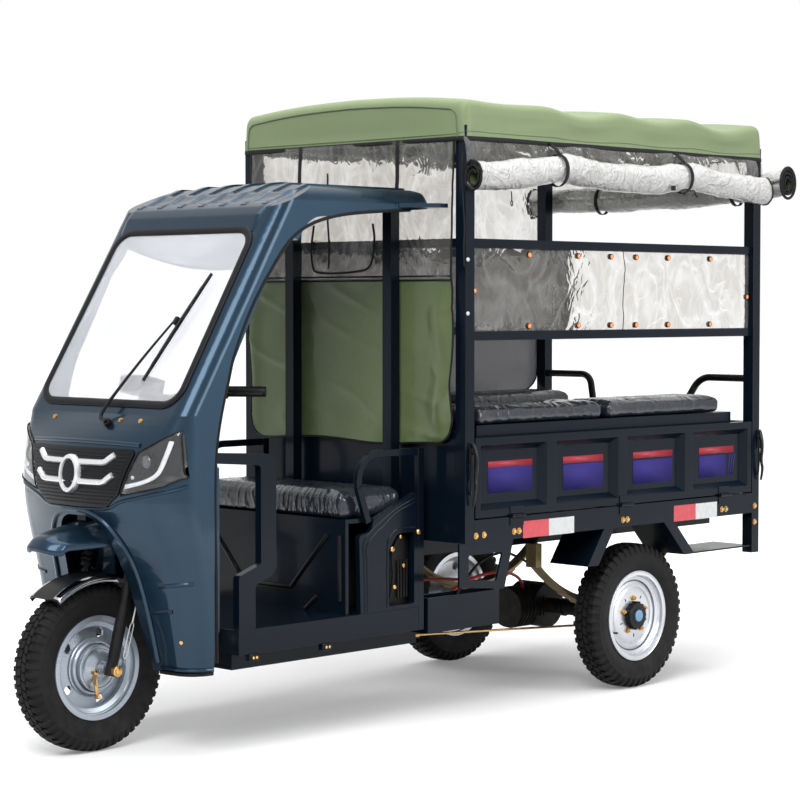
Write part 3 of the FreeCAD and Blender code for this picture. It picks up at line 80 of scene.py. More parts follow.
def add_block(bm, low, high, bevel=0.0, segments=2, turn=None):
    """A block between two corners, turned about its centre, with its edges rounded."""
    low, high = Vector(low), Vector(high)
    size = high - low
    place = Matrix.Translation((low + high) / 2)
    if turn is not None:
        place = place @ turn.to_4x4()
    made = bmesh.ops.create_cube(bm, size=1.0, matrix=place @ Matrix.Diagonal(size).to_4x4())
    if bevel:
        edges = list({e for v in made["verts"] for e in v.link_edges})
        bmesh.ops.bevel(bm, geom=edges, offset=bevel, segments=segments, affect="EDGES",
                        profile=0.5, material=-1)
    return made["verts"]


def add_brick(bm, centre, half, *options):
    """A block by its centre and half its size."""
    centre, half = Vector(centre), Vector(half)
    return add_block(bm, centre - half, centre + half, *options)


def along(start, end):
    """A matrix at the middle of a run, its Z along the run."""
    start, end = Vector(start), Vector(end)
    turn = (end - start).to_track_quat("Z", "Y").to_matrix().to_4x4()
    return Matrix.Translation((start + end) / 2) @ turn


def add_rod(bm, start, end, radius, sides=24, end_radius=None, bevel=0.0):
    """A round rod or cone from start to end."""
    length = (Vector(end) - Vector(start)).length
    far = radius if end_radius is None else end_radius
    made = bmesh.ops.create_cone(bm, cap_ends=True, segments=sides, radius1=radius, radius2=far,
                                 depth=length, matrix=along(start, end))
    if bevel:
        rims = [e for v in made["verts"] for e in v.link_edges
                if any(len(f.verts) > 4 for f in e.link_faces)]
        bmesh.ops.bevel(bm, geom=list(set(rims)), offset=bevel, segments=2, affect="EDGES",
                        profile=0.5, material=-1)
    return made["verts"]


def add_turned(bm, profile, centre, axis, steps=64, closed=True):
    """A (along, radius) profile spun about an axis through centre."""
    axis = Vector(axis).normalized()
    side = axis.orthogonal().normalized()
    centre = Vector(centre)
    verts = [bm.verts.new(centre + axis * a + side * r) for a, r in profile]
    edges = [bm.edges.new(pair) for pair in zip(verts, verts[1:])]
    if closed:
        edges.append(bm.edges.new((verts[-1], verts[0])))
    bmesh.ops.spin(bm, geom=verts + edges, cent=centre, axis=axis, angle=2 * pi,
                   steps=steps, use_merge=True)


def curve_mesh(points, radius, closed=False, smooth=True, rounds=3, taper=None, resolution=6):
    """The mesh of a tube along points."""
    data = bpy.data.curves.new("run", "CURVE")
    data.dimensions = "3D"
    data.bevel_depth = radius
    data.bevel_resolution = rounds
    data.use_fill_caps = not closed
    data.resolution_u = resolution
    spline = data.splines.new("NURBS" if smooth else "POLY")
    spline.points.add(len(points) - 1)
    for i, (target, point) in enumerate(zip(spline.points, points)):
        target.co = (*point, 1.0)
        if taper:
            target.radius = taper[i]
    spline.use_cyclic_u = closed
    if smooth:
        spline.order_u = 3
        spline.use_endpoint_u = not closed
    obj = bpy.data.objects.new("run", data)
    scene.collection.objects.link(obj)
    mesh = bpy.data.meshes.new_from_object(obj.evaluated_get(bpy.context.evaluated_depsgraph_get()))
    bpy.data.objects.remove(obj)
    return mesh


def add_tube(bm, points, radius, **options):
    """A tube along points, added to a mesh that is being made."""
    mesh = curve_mesh(points, radius, **options)
    bm.from_mesh(mesh)
    bpy.data.meshes.remove(mesh)


def add_line(bm, points, radius, rounds=2, **options):
    """A tube in straight runs from point to point."""
    add_tube(bm, points, radius, smooth=False, rounds=rounds, **options)


def add_skin(bm, rows, around=False, close=False):
    """Faces between rows of vertices; around closes each row, close joins the last row to the first."""
    for a, b in zip(rows, rows[1:] + rows[:1] if close else rows[1:]):
        for i in range(len(a) if around else len(a) - 1):
            j = (i + 1) % len(a)
            bm.faces.new((a[i], a[j], b[j], b[i]))


def round_steps(count):
    """(cosine, sine) of equal steps round a circle."""
    return [(cos(2 * pi * k / count), sin(2 * pi * k / count)) for k in range(count)]


def piece(bm, name, finishes, body="root", sharp=sharp_angle, outward=True):
    """Finish a mesh as an object that rides on a body."""
    bmesh.ops.remove_doubles(bm, verts=bm.verts[:], dist=1e-6)
    if outward:
        bmesh.ops.recalc_face_normals(bm, faces=bm.faces[:])
    for face in bm.faces:
        face.smooth = True
    for edge in bm.edges:
        if len(edge.link_faces) == 2 and edge.calc_face_angle(0.0) > sharp:
            edge.smooth = False
    name = name.replace(" ", "_")
    mesh = bpy.data.meshes.new(name)
    bm.to_mesh(mesh)
    bm.free()
    obj = bpy.data.objects.new(name, mesh)
    scene.collection.objects.link(obj)
    for finish in finishes if isinstance(finishes, (list, tuple)) else [finishes]:
        mesh.materials.append(finish.material)
    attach(obj, body)
    return obj


def thicken(obj, thickness, offset=-1.0):
    """Give a thin piece its wall."""
    solid = obj.modifiers.new("thickness", "SOLIDIFY")
    solid.thickness, solid.offset = thickness, offset
    return solid


def soften(obj):
    """Round a sheet or shell by one step of subdivision."""
    soft = obj.modifiers.new("soft", "SUBSURF")
    soft.levels = soft.render_levels = 1


def skin_of(*nodes):
    """A tree of a node's faces, to find places on it."""
    bm = bmesh.new()
    for node in nodes:
        bm.from_mesh(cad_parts[node].data)
    tree = BVHTree.FromBMesh(bm)
    bm.free()
    return tree


def spot(tree, start, direction, fallback=None):
    """Where a ray meets the skin, and the skin's outward normal there."""
    direction = Vector(direction).normalized()
    hit, normal, _, _ = tree.ray_cast(Vector(start), direction)
    if hit is None:
        return fallback, -direction
    if normal.dot(direction) > 0:
        normal = -normal
    return hit, normal


# Shader groups that several finishes share.

def new_group(name, inputs, outputs):
    """An empty shader group with its sockets; inputs are (name, kind, value)."""
    tree = bpy.data.node_groups.new(name, "ShaderNodeTree")
    for label, kind, value in inputs:
        socket = tree.interface.new_socket(label, in_out="INPUT", socket_type=kind)
        if value is not None:
            socket.default_value = value
    for label, kind in outputs:
        tree.interface.new_socket(label, in_out="OUTPUT", socket_type=kind)
    return tree, tree.nodes.new("NodeGroupInput"), tree.nodes.new("NodeGroupOutput")


def feed(tree, socket, value):
    """Join an input to another socket, or give it a plain value."""
    if isinstance(value, bpy.types.NodeSocket):
        tree.links.new(value, socket)
    elif value is not None:
        socket.default_value = value


def add_node(tree, kind, **inputs):
    """A shader node with its inputs fed; _ stands for a space in their names."""
    node = tree.nodes.new("ShaderNode" + kind)
    for label, value in inputs.items():
        feed(tree, node.inputs[label.replace("_", " ")], value)
    return node


def math_node(tree, operation, a, b=None, clamp=False):
    """One step of arithmetic between sockets or numbers."""
    node = tree.nodes.new("ShaderNodeMath")
    node.operation = operation
    node.use_clamp = clamp
    for socket, value in zip(node.inputs, (a, b)):
        feed(tree, socket, value)
    return node.outputs[0]


def noise_node(tree, vector, scale, detail=4.0, roughness=0.5, distortion=0.0):
    """Noise over a place; its numbers may be sockets."""
    return add_node(tree, "TexNoise", Vector=vector, Scale=scale, Detail=detail, Roughness=roughness,
                    Distortion=distortion).outputs["Fac"]


def ramp_node(tree, value, low, high):
    """A value brought from low..high to 0..1."""
    return add_node(tree, "MapRange", From_Min=low, From_Max=high, Value=value).outputs["Result"]


def mix_colour(tree, factor, a, b):
    """A blend of two colours, each a socket or three numbers."""
    node = tree.nodes.new("ShaderNodeMix")
    node.data_type = "RGBA"
    tree.links.new(factor, node.inputs["Factor"])
    for socket, value in ((node.inputs[6], a), (node.inputs[7], b)):
        feed(tree, socket, (*value, 1.0) if isinstance(value, tuple) else value)
    return node.outputs[2]


def group_mottle():
    """Slow and fast variation of a surface: a tone from 0 to 1, and a height."""
    tree, source, sink = new_group(
        "surface mottle",
        [("Vector", "NodeSocketVector", None), ("Broad scale", "NodeSocketFloat", 3.0),
         ("Fine scale", "NodeSocketFloat", 200.0), ("Fine share", "NodeSocketFloat", 0.3)],
        [("Tone", "NodeSocketFloat"), ("Height", "NodeSocketFloat")])
    place = source.outputs["Vector"]
    broad = noise_node(tree, place, source.outputs["Broad scale"], 3.0)
    fine = noise_node(tree, place, source.outputs["Fine scale"], 3.0, 0.6)
    kept = math_node(tree, "MULTIPLY", fine, source.outputs["Fine share"])
    rest = math_node(tree, "SUBTRACT", 1.0, source.outputs["Fine share"])
    tone = math_node(tree, "ADD", kept, math_node(tree, "MULTIPLY", broad, rest))
    tree.links.new(ramp_node(tree, tone, 0.3, 0.7), sink.inputs["Tone"])
    tree.links.new(fine, sink.inputs["Height"])
    return tree


def group_crease():
    """Creases of a thin sheet: sharp folds that run mostly one way, as a height and a mask."""
    tree, source, sink = new_group(
        "sheet creases",
        [("Vector", "NodeSocketVector", None), ("Scale", "NodeSocketFloat", 6.0),
         ("Stretch", "NodeSocketVector", (1.0, 1.0, 0.35))],
        [("Height", "NodeSocketFloat"), ("Mask", "NodeSocketFloat")])
    stretch = tree.nodes.new("ShaderNodeVectorMath")
    stretch.operation = "MULTIPLY"
    tree.links.new(source.outputs["Vector"], stretch.inputs[0])
    tree.links.new(source.outputs["Stretch"], stretch.inputs[1])
    place = stretch.outputs[0]
    first = noise_node(tree, place, source.outputs["Scale"], 2.0, 0.5, 1.6)
    double = math_node(tree, "MULTIPLY", source.outputs["Scale"], 2.7)
    second = noise_node(tree, place, double, 2.0, 0.5, 1.2)
    folds = []
    for value in (first, second):
        centred = math_node(tree, "SUBTRACT", value, 0.5)
        folded = math_node(tree, "ABSOLUTE", centred)
        folds.append(math_node(tree, "SUBTRACT", 1.0, ramp_node(tree, folded, 0.0, 0.09)))
    both = math_node(tree, "ADD", folds[0], math_node(tree, "MULTIPLY", folds[1], 0.5))
    slow = noise_node(tree, place, source.outputs["Scale"], 1.0)
    tree.links.new(math_node(tree, "ADD", both, math_node(tree, "MULTIPLY", slow, 2.0)),
                   sink.inputs["Height"])
    tree.links.new(math_node(tree, "MULTIPLY", both, 0.7, clamp=True), sink.inputs["Mask"])
    return tree


def group_weave():
    """Crossed threads of a coated cloth, as a height."""
    tree, source, sink = new_group(
        "cloth weave",
        [("Vector", "NodeSocketVector", None), ("Threads", "NodeSocketFloat", 900.0)],
        [("Height", "NodeSocketFloat")])
    heights = []
    for direction in ("X", "Y", "Z"):
        wave = add_node(tree, "TexWave", Distortion=0.6, Vector=source.outputs["Vector"],
                        Scale=source.outputs["Threads"])
        wave.bands_direction = direction
        heights.append(wave.outputs["Fac"])
    total = math_node(tree, "ADD", heights[0], math_node(tree, "ADD", heights[1], heights[2]))
    tree.links.new(total, sink.inputs["Height"])
    return tree


def group_dust():
    """Dust that lies lower down and in patches: a mask from 0 to 1."""
    tree, source, sink = new_group(
        "low dust",
        [("Vector", "NodeSocketVector", None), ("Top", "NodeSocketFloat", 0.6),
         ("Amount", "NodeSocketFloat", 0.3)],
        [("Mask", "NodeSocketFloat")])
    split = add_node(tree, "SeparateXYZ", Vector=source.outputs["Vector"])
    height = math_node(tree, "DIVIDE", split.outputs["Z"], source.outputs["Top"])
    low = math_node(tree, "SUBTRACT", 1.0, height, clamp=True)
    patches = ramp_node(tree, noise_node(tree, source.outputs["Vector"], 24.0, 5.0), 0.35, 0.75)
    mask = math_node(tree, "MULTIPLY", low, patches)
    tree.links.new(math_node(tree, "MULTIPLY", mask, source.outputs["Amount"], clamp=True),
                   sink.inputs["Mask"])
    return tree


mottle, crease, weave, dust = group_mottle(), group_crease(), group_weave(), group_dust()


class Finish:
    """A material with a Principled shader, and short ways to add variation to it."""

    def __init__(self, name, colour, roughness, metallic=0.0, **sockets):
        self.material = bpy.data.materials.new(name)
        self.material.use_nodes = True
        self.tree = self.material.node_tree
        self.shader = self.tree.nodes["Principled BSDF"]
        self.shader.inputs["Base Color"].default_value = (*colour, 1.0)
        self.shader.inputs["Roughness"].default_value = roughness
        self.shader.inputs["Metallic"].default_value = metallic
        for label, value in sockets.items():
            self.shader.inputs[label.replace("_", " ")].default_value = value
        self.colour = colour
        self.roughness = roughness
        self.place = self.tree.nodes.new("ShaderNodeTexCoord").outputs["Object"]
        self.base = self.raised = None

    def use(self, group, **values):
        """Add a shared group, fed by the object's own places."""
        node = self.tree.nodes.new("ShaderNodeGroup")
        node.node_tree = group
        self.tree.links.new(self.place, node.inputs["Vector"])
        for label, value in values.items():
            node.inputs[label.replace("_", " ")].default_value = value
        return node

    def mottled(self, broad=3.0, fine=200.0, share=0.3, depth=0.1, rough_by=0.08, other=None):
        """Vary the colour between two tones and the roughness with it."""
        node = self.use(mottle, Broad_scale=broad, Fine_scale=fine, Fine_share=share)
        tone = node.outputs["Tone"]
        dark = tuple(c * (1 - depth) for c in self.colour)
        light = other or tuple(min(1.0, c * (1 + depth)) for c in self.colour)
        self.base = mix_colour(self.tree, tone, dark, light)
        self.tree.links.new(self.base, self.shader.inputs["Base Color"])
        ramp = add_node(self.tree, "MapRange", To_Min=max(0.02, self.roughness - rough_by),
                        To_Max=min(1.0, self.roughness + rough_by), Value=tone)
        self.tree.links.new(ramp.outputs["Result"], self.shader.inputs["Roughness"])
        return self

    def bumped(self, height, strength, distance):
        """Raise the surface by a height, on top of earlier ones."""
        self.raised = add_node(self.tree, "Bump", Strength=strength, Distance=distance, Height=height,
                               Normal=self.raised).outputs["Normal"]
        self.tree.links.new(self.raised, self.shader.inputs["Normal"])
        return self

    def grained(self, scale=400.0, strength=0.2, distance=0.0004):
        """A fine grain."""
        node = self.use(mottle, Fine_scale=scale)
        return self.bumped(node.outputs["Height"], strength, distance)

    def creased(self, scale=6.0, stretch=(1.0, 1.0, 0.35), strength=0.5, distance=0.004):
        """Folds of a thin sheet; returns where they lie."""
        node = self.use(crease, Scale=scale, Stretch=stretch)
        self.bumped(node.outputs["Height"], strength, distance)
        return node.outputs["Mask"]

    def woven(self, threads=900.0, strength=0.15, distance=0.0003):
        """The threads of a cloth."""
        node = self.use(weave, Threads=threads)
        return self.bumped(node.outputs["Height"], strength, distance)

    def dusty(self, colour=(0.2, 0.18, 0.15), top=0.6, amount=0.3):
        """Dust that lies lower down."""
        node = self.use(dust, Top=top, Amount=amount)
        start = self.base if self.base is not None else self.colour
        mixed = mix_colour(self.tree, node.outputs["Mask"], start, colour)
        self.tree.links.new(mixed, self.shader.inputs["Base Color"])
        self.base = mixed
        return self


# Finishes of this vehicle.

cab_paint = Finish("cab blue", (0.0115, 0.033, 0.058), 0.28, 0.74, Coat_Weight=0.35, Coat_Roughness=0.03,
                   Specular_IOR_Level=0.2)
cab_paint.mottled(2.0, 900.0, 0.5, 0.1, 0.05).grained(1400.0, 0.04, 0.0002)
frame_paint = Finish("frame navy", (0.003, 0.0075, 0.015), 0.24, Coat_Weight=0.08, Coat_Roughness=0.06,
                     Specular_IOR_Level=0.1)
frame_paint.mottled(3.0, 260.0, 0.3, 0.14, 0.05).grained(160.0, 0.05, 0.0005)
black_paint = Finish("black paint", (0.008, 0.008, 0.009), 0.38, Coat_Weight=0.1, Coat_Roughness=0.2,
                     Specular_IOR_Level=0.12)
black_paint.mottled(4.0, 240.0, 0.4, 0.2, 0.08).grained(260.0, 0.2, 0.0005).dusty(amount=0.2)
cast_black = Finish("cast iron black", (0.013, 0.012, 0.012), 0.55, 0.2, Specular_IOR_Level=0.15)
cast_black.mottled(6.0, 160.0, 0.6, 0.3, 0.1).grained(180.0, 0.5, 0.0012).dusty(top=0.5, amount=0.35)
tyre_rubber = Finish("tyre rubber", (0.012, 0.012, 0.013), 0.62, Specular_IOR_Level=0.12)
tyre_rubber.mottled(9.0, 260.0, 0.4, 0.2, 0.08).grained(420.0, 0.3, 0.0006).dusty((0.12, 0.115, 0.105), 0.6, 0.18)
rubber = Finish("trim rubber", (0.01, 0.01, 0.012), 0.42, Specular_IOR_Level=0.12)
rubber.mottled(8.0, 300.0, 0.4, 0.15, 0.08).grained(500.0, 0.2, 0.0003)
plastic_black = Finish("black plastic", (0.008, 0.009, 0.01), 0.28, Coat_Weight=0.1, Coat_Roughness=0.08,
                       Specular_IOR_Level=0.12)
plastic_black.mottled(5.0, 300.0, 0.3, 0.12, 0.05).grained(600.0, 0.12, 0.0003)
plastic_matt = Finish("matt black plastic", (0.014, 0.014, 0.016), 0.6, Specular_IOR_Level=0.15)
plastic_matt.mottled(5.0, 400.0, 0.5, 0.15, 0.08).grained(700.0, 0.4, 0.0005)
silver = Finish("bright silver", (0.8, 0.81, 0.83), 0.26, 0.45)
silver.mottled(5.0, 300.0, 0.3, 0.05, 0.05).grained(300.0, 0.06, 0.0002)
chrome = Finish("chromed steel", (0.5, 0.51, 0.53), 0.12, 1.0)
chrome.mottled(7.0, 240.0, 0.3, 0.12, 0.05).grained(240.0, 0.08, 0.0004)
rim_silver = Finish("rim silver", (0.58, 0.6, 0.63), 0.3, 0.75)
rim_silver.mottled(8.0, 420.0, 0.5, 0.08, 0.08).grained(500.0, 0.12, 0.0003).dusty((0.3, 0.28, 0.25), 0.6, 0.2)
rim_grey = Finish("rim grey", (0.36, 0.41, 0.47), 0.3, 0.55)
rim_grey.mottled(8.0, 420.0, 0.5, 0.08, 0.08).grained(500.0, 0.12, 0.0003).dusty((0.3, 0.28, 0.25), 0.6, 0.2)
brass = Finish("plated bolts", (0.58, 0.36, 0.14), 0.28, 1.0)
brass.mottled(30.0, 600.0, 0.5, 0.2, 0.1).grained(500.0, 0.2, 0.0002)
copper = Finish("snap studs", (0.7, 0.24, 0.09), 0.25, 1.0)
copper.mottled(30.0, 600.0, 0.5, 0.15, 0.08)
canopy_cloth = Finish("coated canopy cloth", (0.225, 0.285, 0.155), 0.44, Specular_IOR_Level=0.2)
canopy_cloth.mottled(2.2, 60.0, 0.25, 0.06, 0.06).woven(620.0, 0.06, 0.0003)
curtain_cloth = Finish("coated curtain cloth", (0.13, 0.175, 0.078), 0.34, Coat_Weight=0.3, Coat_Roughness=0.2,
                       Specular_IOR_Level=0.2)
curtain_cloth.mottled(2.5, 60.0, 0.25, 0.14, 0.06).woven(620.0, 0.1, 0.0003)
roll_cloth = Finish("white curtain cloth", (0.6, 0.595, 0.585), 0.34, Coat_Weight=0.5, Coat_Roughness=0.12)
roll_cloth.mottled(2.5, 60.0, 0.25, 0.08, 0.06, other=(0.68, 0.675, 0.665)).woven(620.0, 0.06, 0.0003)
roll_cloth.creased(8.0, (1.0, 1.0, 1.0), 0.7, 0.006)
canopy_thread = Finish("canopy thread", (0.105, 0.15, 0.08), 0.6)
canopy_thread.mottled(20.0, 500.0, 0.5, 0.2, 0.08)
# The curtains' lining side is the same pale cloth as the rolls' outside, painted dark grey as the shade it lies in
# inside the box.
painted_shade_lining = Finish("curtain lining", (0.155, 0.155, 0.165), 0.4)
painted_shade_lining.mottled(2.5, 60.0, 0.25, 0.1, 0.06).woven(620.0, 0.08, 0.0003)
binding = Finish("black binding tape", (0.012, 0.013, 0.014), 0.62, Specular_IOR_Level=0.15)
binding.mottled(20.0, 500.0, 0.5, 0.2, 0.08).woven(1500.0, 0.3, 0.0004)
seat_vinyl = Finish("wrapped seat vinyl", (0.02, 0.024, 0.033), 0.34, Coat_Weight=0.8, Coat_Roughness=0.09,
                    Coat_IOR=1.5, Specular_IOR_Level=0.1)
seat_vinyl.mottled(6.0, 90.0, 0.3, 0.25, 0.08)
sticker_purple = Finish("purple panel film", (0.042, 0.032, 0.2), 0.62, Specular_IOR_Level=0.15)
sticker_purple.mottled(8.0, 200.0, 0.3, 0.12, 0.05)
sticker_red = Finish("red panel film", (0.42, 0.02, 0.045), 0.42)
sticker_red.mottled(8.0, 200.0, 0.3, 0.12, 0.05)
reflector_red = Finish("red reflector", (0.7, 0.012, 0.03), 0.25, Coat_Weight=0.6)
reflector_red.mottled(40.0, 900.0, 0.5, 0.2, 0.05).woven(700.0, 0.25, 0.0003)
reflector_white = Finish("white reflector", (0.78, 0.79, 0.81), 0.28, Coat_Weight=0.6)
reflector_white.mottled(40.0, 900.0, 0.5, 0.06, 0.05).woven(700.0, 0.25, 0.0003)
lamp_white = Finish("lamp light strip", (0.8, 0.81, 0.83), 0.25)
lamp_white.mottled(30.0, 600.0, 0.4, 0.03, 0.05)
projector_glass = Finish("projector glass", (0.05, 0.055, 0.065), 0.05, Coat_Weight=1.0, Coat_Roughness=0.02)
projector_glass.mottled(20.0, 300.0, 0.3, 0.1, 0.02)
cap_blue = Finish("pale blue cap", (0.2, 0.4, 0.62), 0.35)
cap_blue.mottled(30.0, 600.0, 0.4, 0.08, 0.05)
spring_gold = Finish("waxed spring steel", (0.24, 0.18, 0.08), 0.42, 0.5)
spring_gold.mottled(20.0, 300.0, 0.4, 0.25, 0.1).grained(300.0, 0.3, 0.0005)
cable_red = Finish("red cable", (0.45, 0.02, 0.02), 0.4)
cable_red.mottled(30.0, 600.0, 0.4, 0.15, 0.05)


def clear_film():
    """A clear soft sheet: tints what is seen through it, with creases painted paler as highlights, which also have more
    coat to catch light.
    """
    made = Finish("clear film", (0.62, 0.59, 0.55), 0.12, IOR=1.05, Transmission_Weight=0.86, Coat_Weight=1.0,
                  Coat_Roughness=0.1, Coat_IOR=1.6)
    mask = made.creased(5.2, (1.0, 0.85, 0.55), 0.9, 0.005)
    # The creases' paler colour is a painted highlight over the film's own beige tint.
    tint_and_painted_highlight = mix_colour(made.tree, mask, (0.6, 0.57, 0.53), (0.9, 0.89, 0.87))
    made.tree.links.new(tint_and_painted_highlight, made.shader.inputs["Base Color"])
    gloss = add_node(made.tree, "MapRange", To_Min=0.1, To_Max=0.7, Value=mask)
    made.tree.links.new(gloss.outputs["Result"], made.shader.inputs["Coat Weight"])
    return made


film = clear_film()
# Over a quarter of the pane is a pale bluish diffuse colour, a painted white reflection; the rest lets light through.
glass = Finish("glass with painted reflection", (0.93, 0.945, 0.98), 0.02, Transmission_Weight=0.72, IOR=1.45)
lens = Finish("lamp lens", (0.84, 0.85, 0.87), 0.02, Transmission_Weight=1.0, IOR=1.06, Coat_Weight=1.0)

# The solids that stay, each with its finish and the width of its rounded edges.
kept = {
    frame_paint: [("chassis_frame", 1.5), ("floor_pan", 2), ("seat_box", 2), ("armrests", 1.5),
                  ("side_guards", 3), ("cab_posts", 2), ("box_frame", 2.5), ("bed", 2),
                  ("side_board_left", 2), ("side_board_right", 2), ("tailgate", 2),
                  ("bench_bases", 1.5), ("mud_plates", 0.8), ("front_brackets", 1), ("side_skirts", 0)],
    cab_paint: [("cab_front", 0), ("cab_roof", 0), ("firewall", 0)],
    black_paint: [("handrails", 0), ("fork", 1), ("handlebar", 1), ("battery_box", 3),
                  ("front_mudguard", 0.8)],
    cast_black: [("rear_axle", 1)],
    spring_gold: [("leaf_springs", 0.8)],
    plastic_black: [("grille", 1)],
    rim_grey: [("front_rim", 0)],
    rim_silver: [("rear_rim_left", 0), ("rear_rim_right", 0)],
}
weld_distance = 0.00002


def dress(node, finish, rounding):
    """Give a solid its finish, and round its edges where it is a folded or welded piece."""
    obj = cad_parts[node]
    obj.data.materials.clear()
    obj.data.materials.append(finish.material)
    if rounding:
        weld = obj.modifiers.new("weld", "WELD")
        weld.merge_threshold = weld_distance
        bevel = obj.modifiers.new("rounded edges", "BEVEL")
        bevel.width = rounding * mm
        bevel.segments = 2
        bevel.limit_method = "ANGLE"
        bevel.angle_limit = radians(40)
        bevel.harden_normals = False
        obj.data.shade_flat()


for finish, nodes in kept.items():
    for node, rounding in nodes:
        dress(node, finish, rounding)


# Wheels: tyres with their tread, hubs and nuts.
rim_seat = 0.1575
rim_edge = [(-0.0035, 0.1672), (-0.0005, 0.168), (0.0, 0.1655), (-0.002, 0.1625), (-0.012, 0.158),
            (-0.014, 0.15), (-0.024, 0.144), (-0.03, 0.133), (-0.036, 0.1325), (-0.03, 0.15),
            (-0.0145, 0.164)]


def crown(radius, half, x):
    """The tyre's outer radius at x from its middle, over the tread."""
    u = min(abs(x) / half, 1.0)
    return radius - 0.004 * u * u - 0.034 * max(0.0, (u - 0.66) / 0.34) ** 2.2


def add_lug(bm, centre, radius, half, stations, depth, draft=0.0012):
    """One tread block: stations are (x, first angle, last angle) across the tyre."""
    rows = []
    slip = draft / radius
    for x, first, last in stations:
        top = crown(radius, half, x)
        rows.append([bm.verts.new(centre + Vector((x, r * cos(angle), r * sin(angle))))
                     for angle, r in ((first, top - depth), (first, top - draft), (first + slip, top),
                                      (last - slip, top), (last, top - draft), (last, top - depth))])
    add_skin(bm, rows)
    bm.faces.new(rows[0])
    bm.faces.new(list(reversed(rows[-1])))


def tyre(name, node, body, pitches, shoulder, groove, depth):
    """A tyre in the place of its solid, with shoulder lugs and a ribbed middle."""
    low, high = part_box(node)
    centre = (low + high) / 2
    radius = (high.z - low.z) / 2
    half = (high.x - low.x) / 2
    bm = bmesh.new()
    profile = [(-0.036, 0.0), (-0.04, 0.01), (-half + 0.01, 0.022), (-half + 0.0025, 0.042), (-half, 0.06),
               (-half + 0.001, 0.074), (-half + 0.0004, 0.0755), (-half + 0.0012, 0.077)]
    profile = [(x, rim_seat + rise) for x, rise in profile]
    profile += [(x, crown(radius, half, x) - depth) for x in (-0.053, -0.047, -0.04, -0.03, -0.015)]
    profile.append((0.0, radius - depth))
    profile += [(-x, r) for x, r in reversed(profile[:-1])]
    add_turned(bm, profile, centre, left, steps=120)
    pitch = 2 * pi / pitches
    lean = pitch * 0.16
    for i in range(pitches):
        for side in (-1, 1):
            phase = i * pitch + (pitch / 2 if side > 0 else 0.0)
            mid = phase + pitch * 0.08
            for stations in ([(side * x, phase + lean * t, phase + pitch * shoulder + lean * t * 0.4) for x, t in
                              ((0.024, 0.0), (0.034, 0.25), (0.044, 0.6), (0.051, 0.9), (0.0562, 1.2))],
                             [(side * x, mid + pitch * s, mid + pitch * (s + 1.0 - groove)) for x, s in
                              ((0.0025, 0.0), (0.009, 0.1), (0.0155, 0.22), (0.0205, 0.1))]):
                if side > 0:
                    stations.reverse()
                add_lug(bm, centre, radius, half, stations, depth + 0.001)
    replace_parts(piece(bm, name, tyre_rubber, body, radians(28)), node)


tyre("front tyre", "front_tyre", "front_wheel", 58, 0.62, 0.16, 0.0065)
tyre("rear tyre left", "rear_tyre_left", "rear_wheel_left", 50, 0.56, 0.24, 0.0085)
tyre("rear tyre right", "rear_tyre_right", "rear_wheel_right", 50, 0.56, 0.24, 0.0085)


def ring_of(count, radius, centre, start=0.0):
    """Points round an axle, in its wheel's plane."""
    for i in range(count):
        angle = start + 2 * pi * i / count
        yield centre + Vector((0, radius * cos(angle), radius * sin(angle))), angle


def rear_wheel(side, suffix):
    """The outer face of a rear wheel: pressed disc, hub, cap and nuts."""
    body = "rear_wheel_" + suffix
    node_low, node_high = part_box("rear_rim_" + suffix)
    centre = Vector((side * rear_track, rear_axle_y, tyre_radius))
    out = left * side
    face = node_high.x - rear_track if side > 0 else -rear_track - node_low.x
    bm = bmesh.new()
    add_turned(bm, [(0.015, 0.13), (0.0205, 0.1275), (0.0235, 0.118), (0.0205, 0.109), (0.024, 0.102),
                    (0.0262, 0.09), (0.0262, 0.044), (0.015, 0.044)], centre, out, steps=96)
    add_turned(bm, [(face + a, r) for a, r in rim_edge], centre, out, steps=96)
    piece(bm, "rear wheel face " + suffix, rim_silver, body)
    bm = bmesh.new()
    add_turned(bm, [(0.024, 0.0), (0.024, 0.05), (0.04, 0.049), (0.047, 0.0485), (0.05, 0.0465),
                    (0.0505, 0.033), (0.0535, 0.03), (0.0535, 0.0)], centre, out, closed=False)
    for place, angle in ring_of(15, 0.05, centre):
        add_brick(bm, place + out * 0.037, (0.01, 0.0035, 0.0022), 0.0006, 1, Matrix.Rotation(angle, 3, "X"))
    piece(bm, "rear hub " + suffix, plastic_black, body)
    bm = bmesh.new()
    add_turned(bm, [(0.05, 0.0), (0.05, 0.0215), (0.0548, 0.0215), (0.0558, 0.0195), (0.056, 0.017),
                    (0.0565, 0.0)], centre, out, steps=48, closed=False)
    piece(bm, "rear cap " + suffix, cap_blue, body=body)
    bm = bmesh.new()
    for place, angle in ring_of(5, 0.0655, centre, 0.35):
        for start, end, radius, corners, bevel in (
                (0.0255, 0.0285, 0.0105, 20, 0.0), (0.0285, 0.0375, 0.0085, 6, 0.001),
                (0.0375, 0.043, 0.0045, 12, 0.0008)):
            add_rod(bm, place + out * start, place + out * end, radius, corners, bevel=bevel)
    piece(bm, "rear wheel nuts " + suffix, brass, body=body)
    bm = bmesh.new()
    for place, angle in ring_of(5, 0.076, centre, 0.98):
        add_brick(bm, place + out * 0.0255, (0.0012, 0.0065, 0.0022), 0.0, 1, Matrix.Rotation(angle, 3, "X"))
    stem = centre + Vector((0, -0.115, -0.058))
    add_rod(bm, stem + out * 0.012, stem + out * 0.04 + Vector((0, 0.006, 0.003)), 0.0035, 12, bevel=0.0006)
    piece(bm, "rear wheel slots " + suffix, plastic_matt, body=body)


for side, suffix in sides:
    rear_wheel(side, suffix)


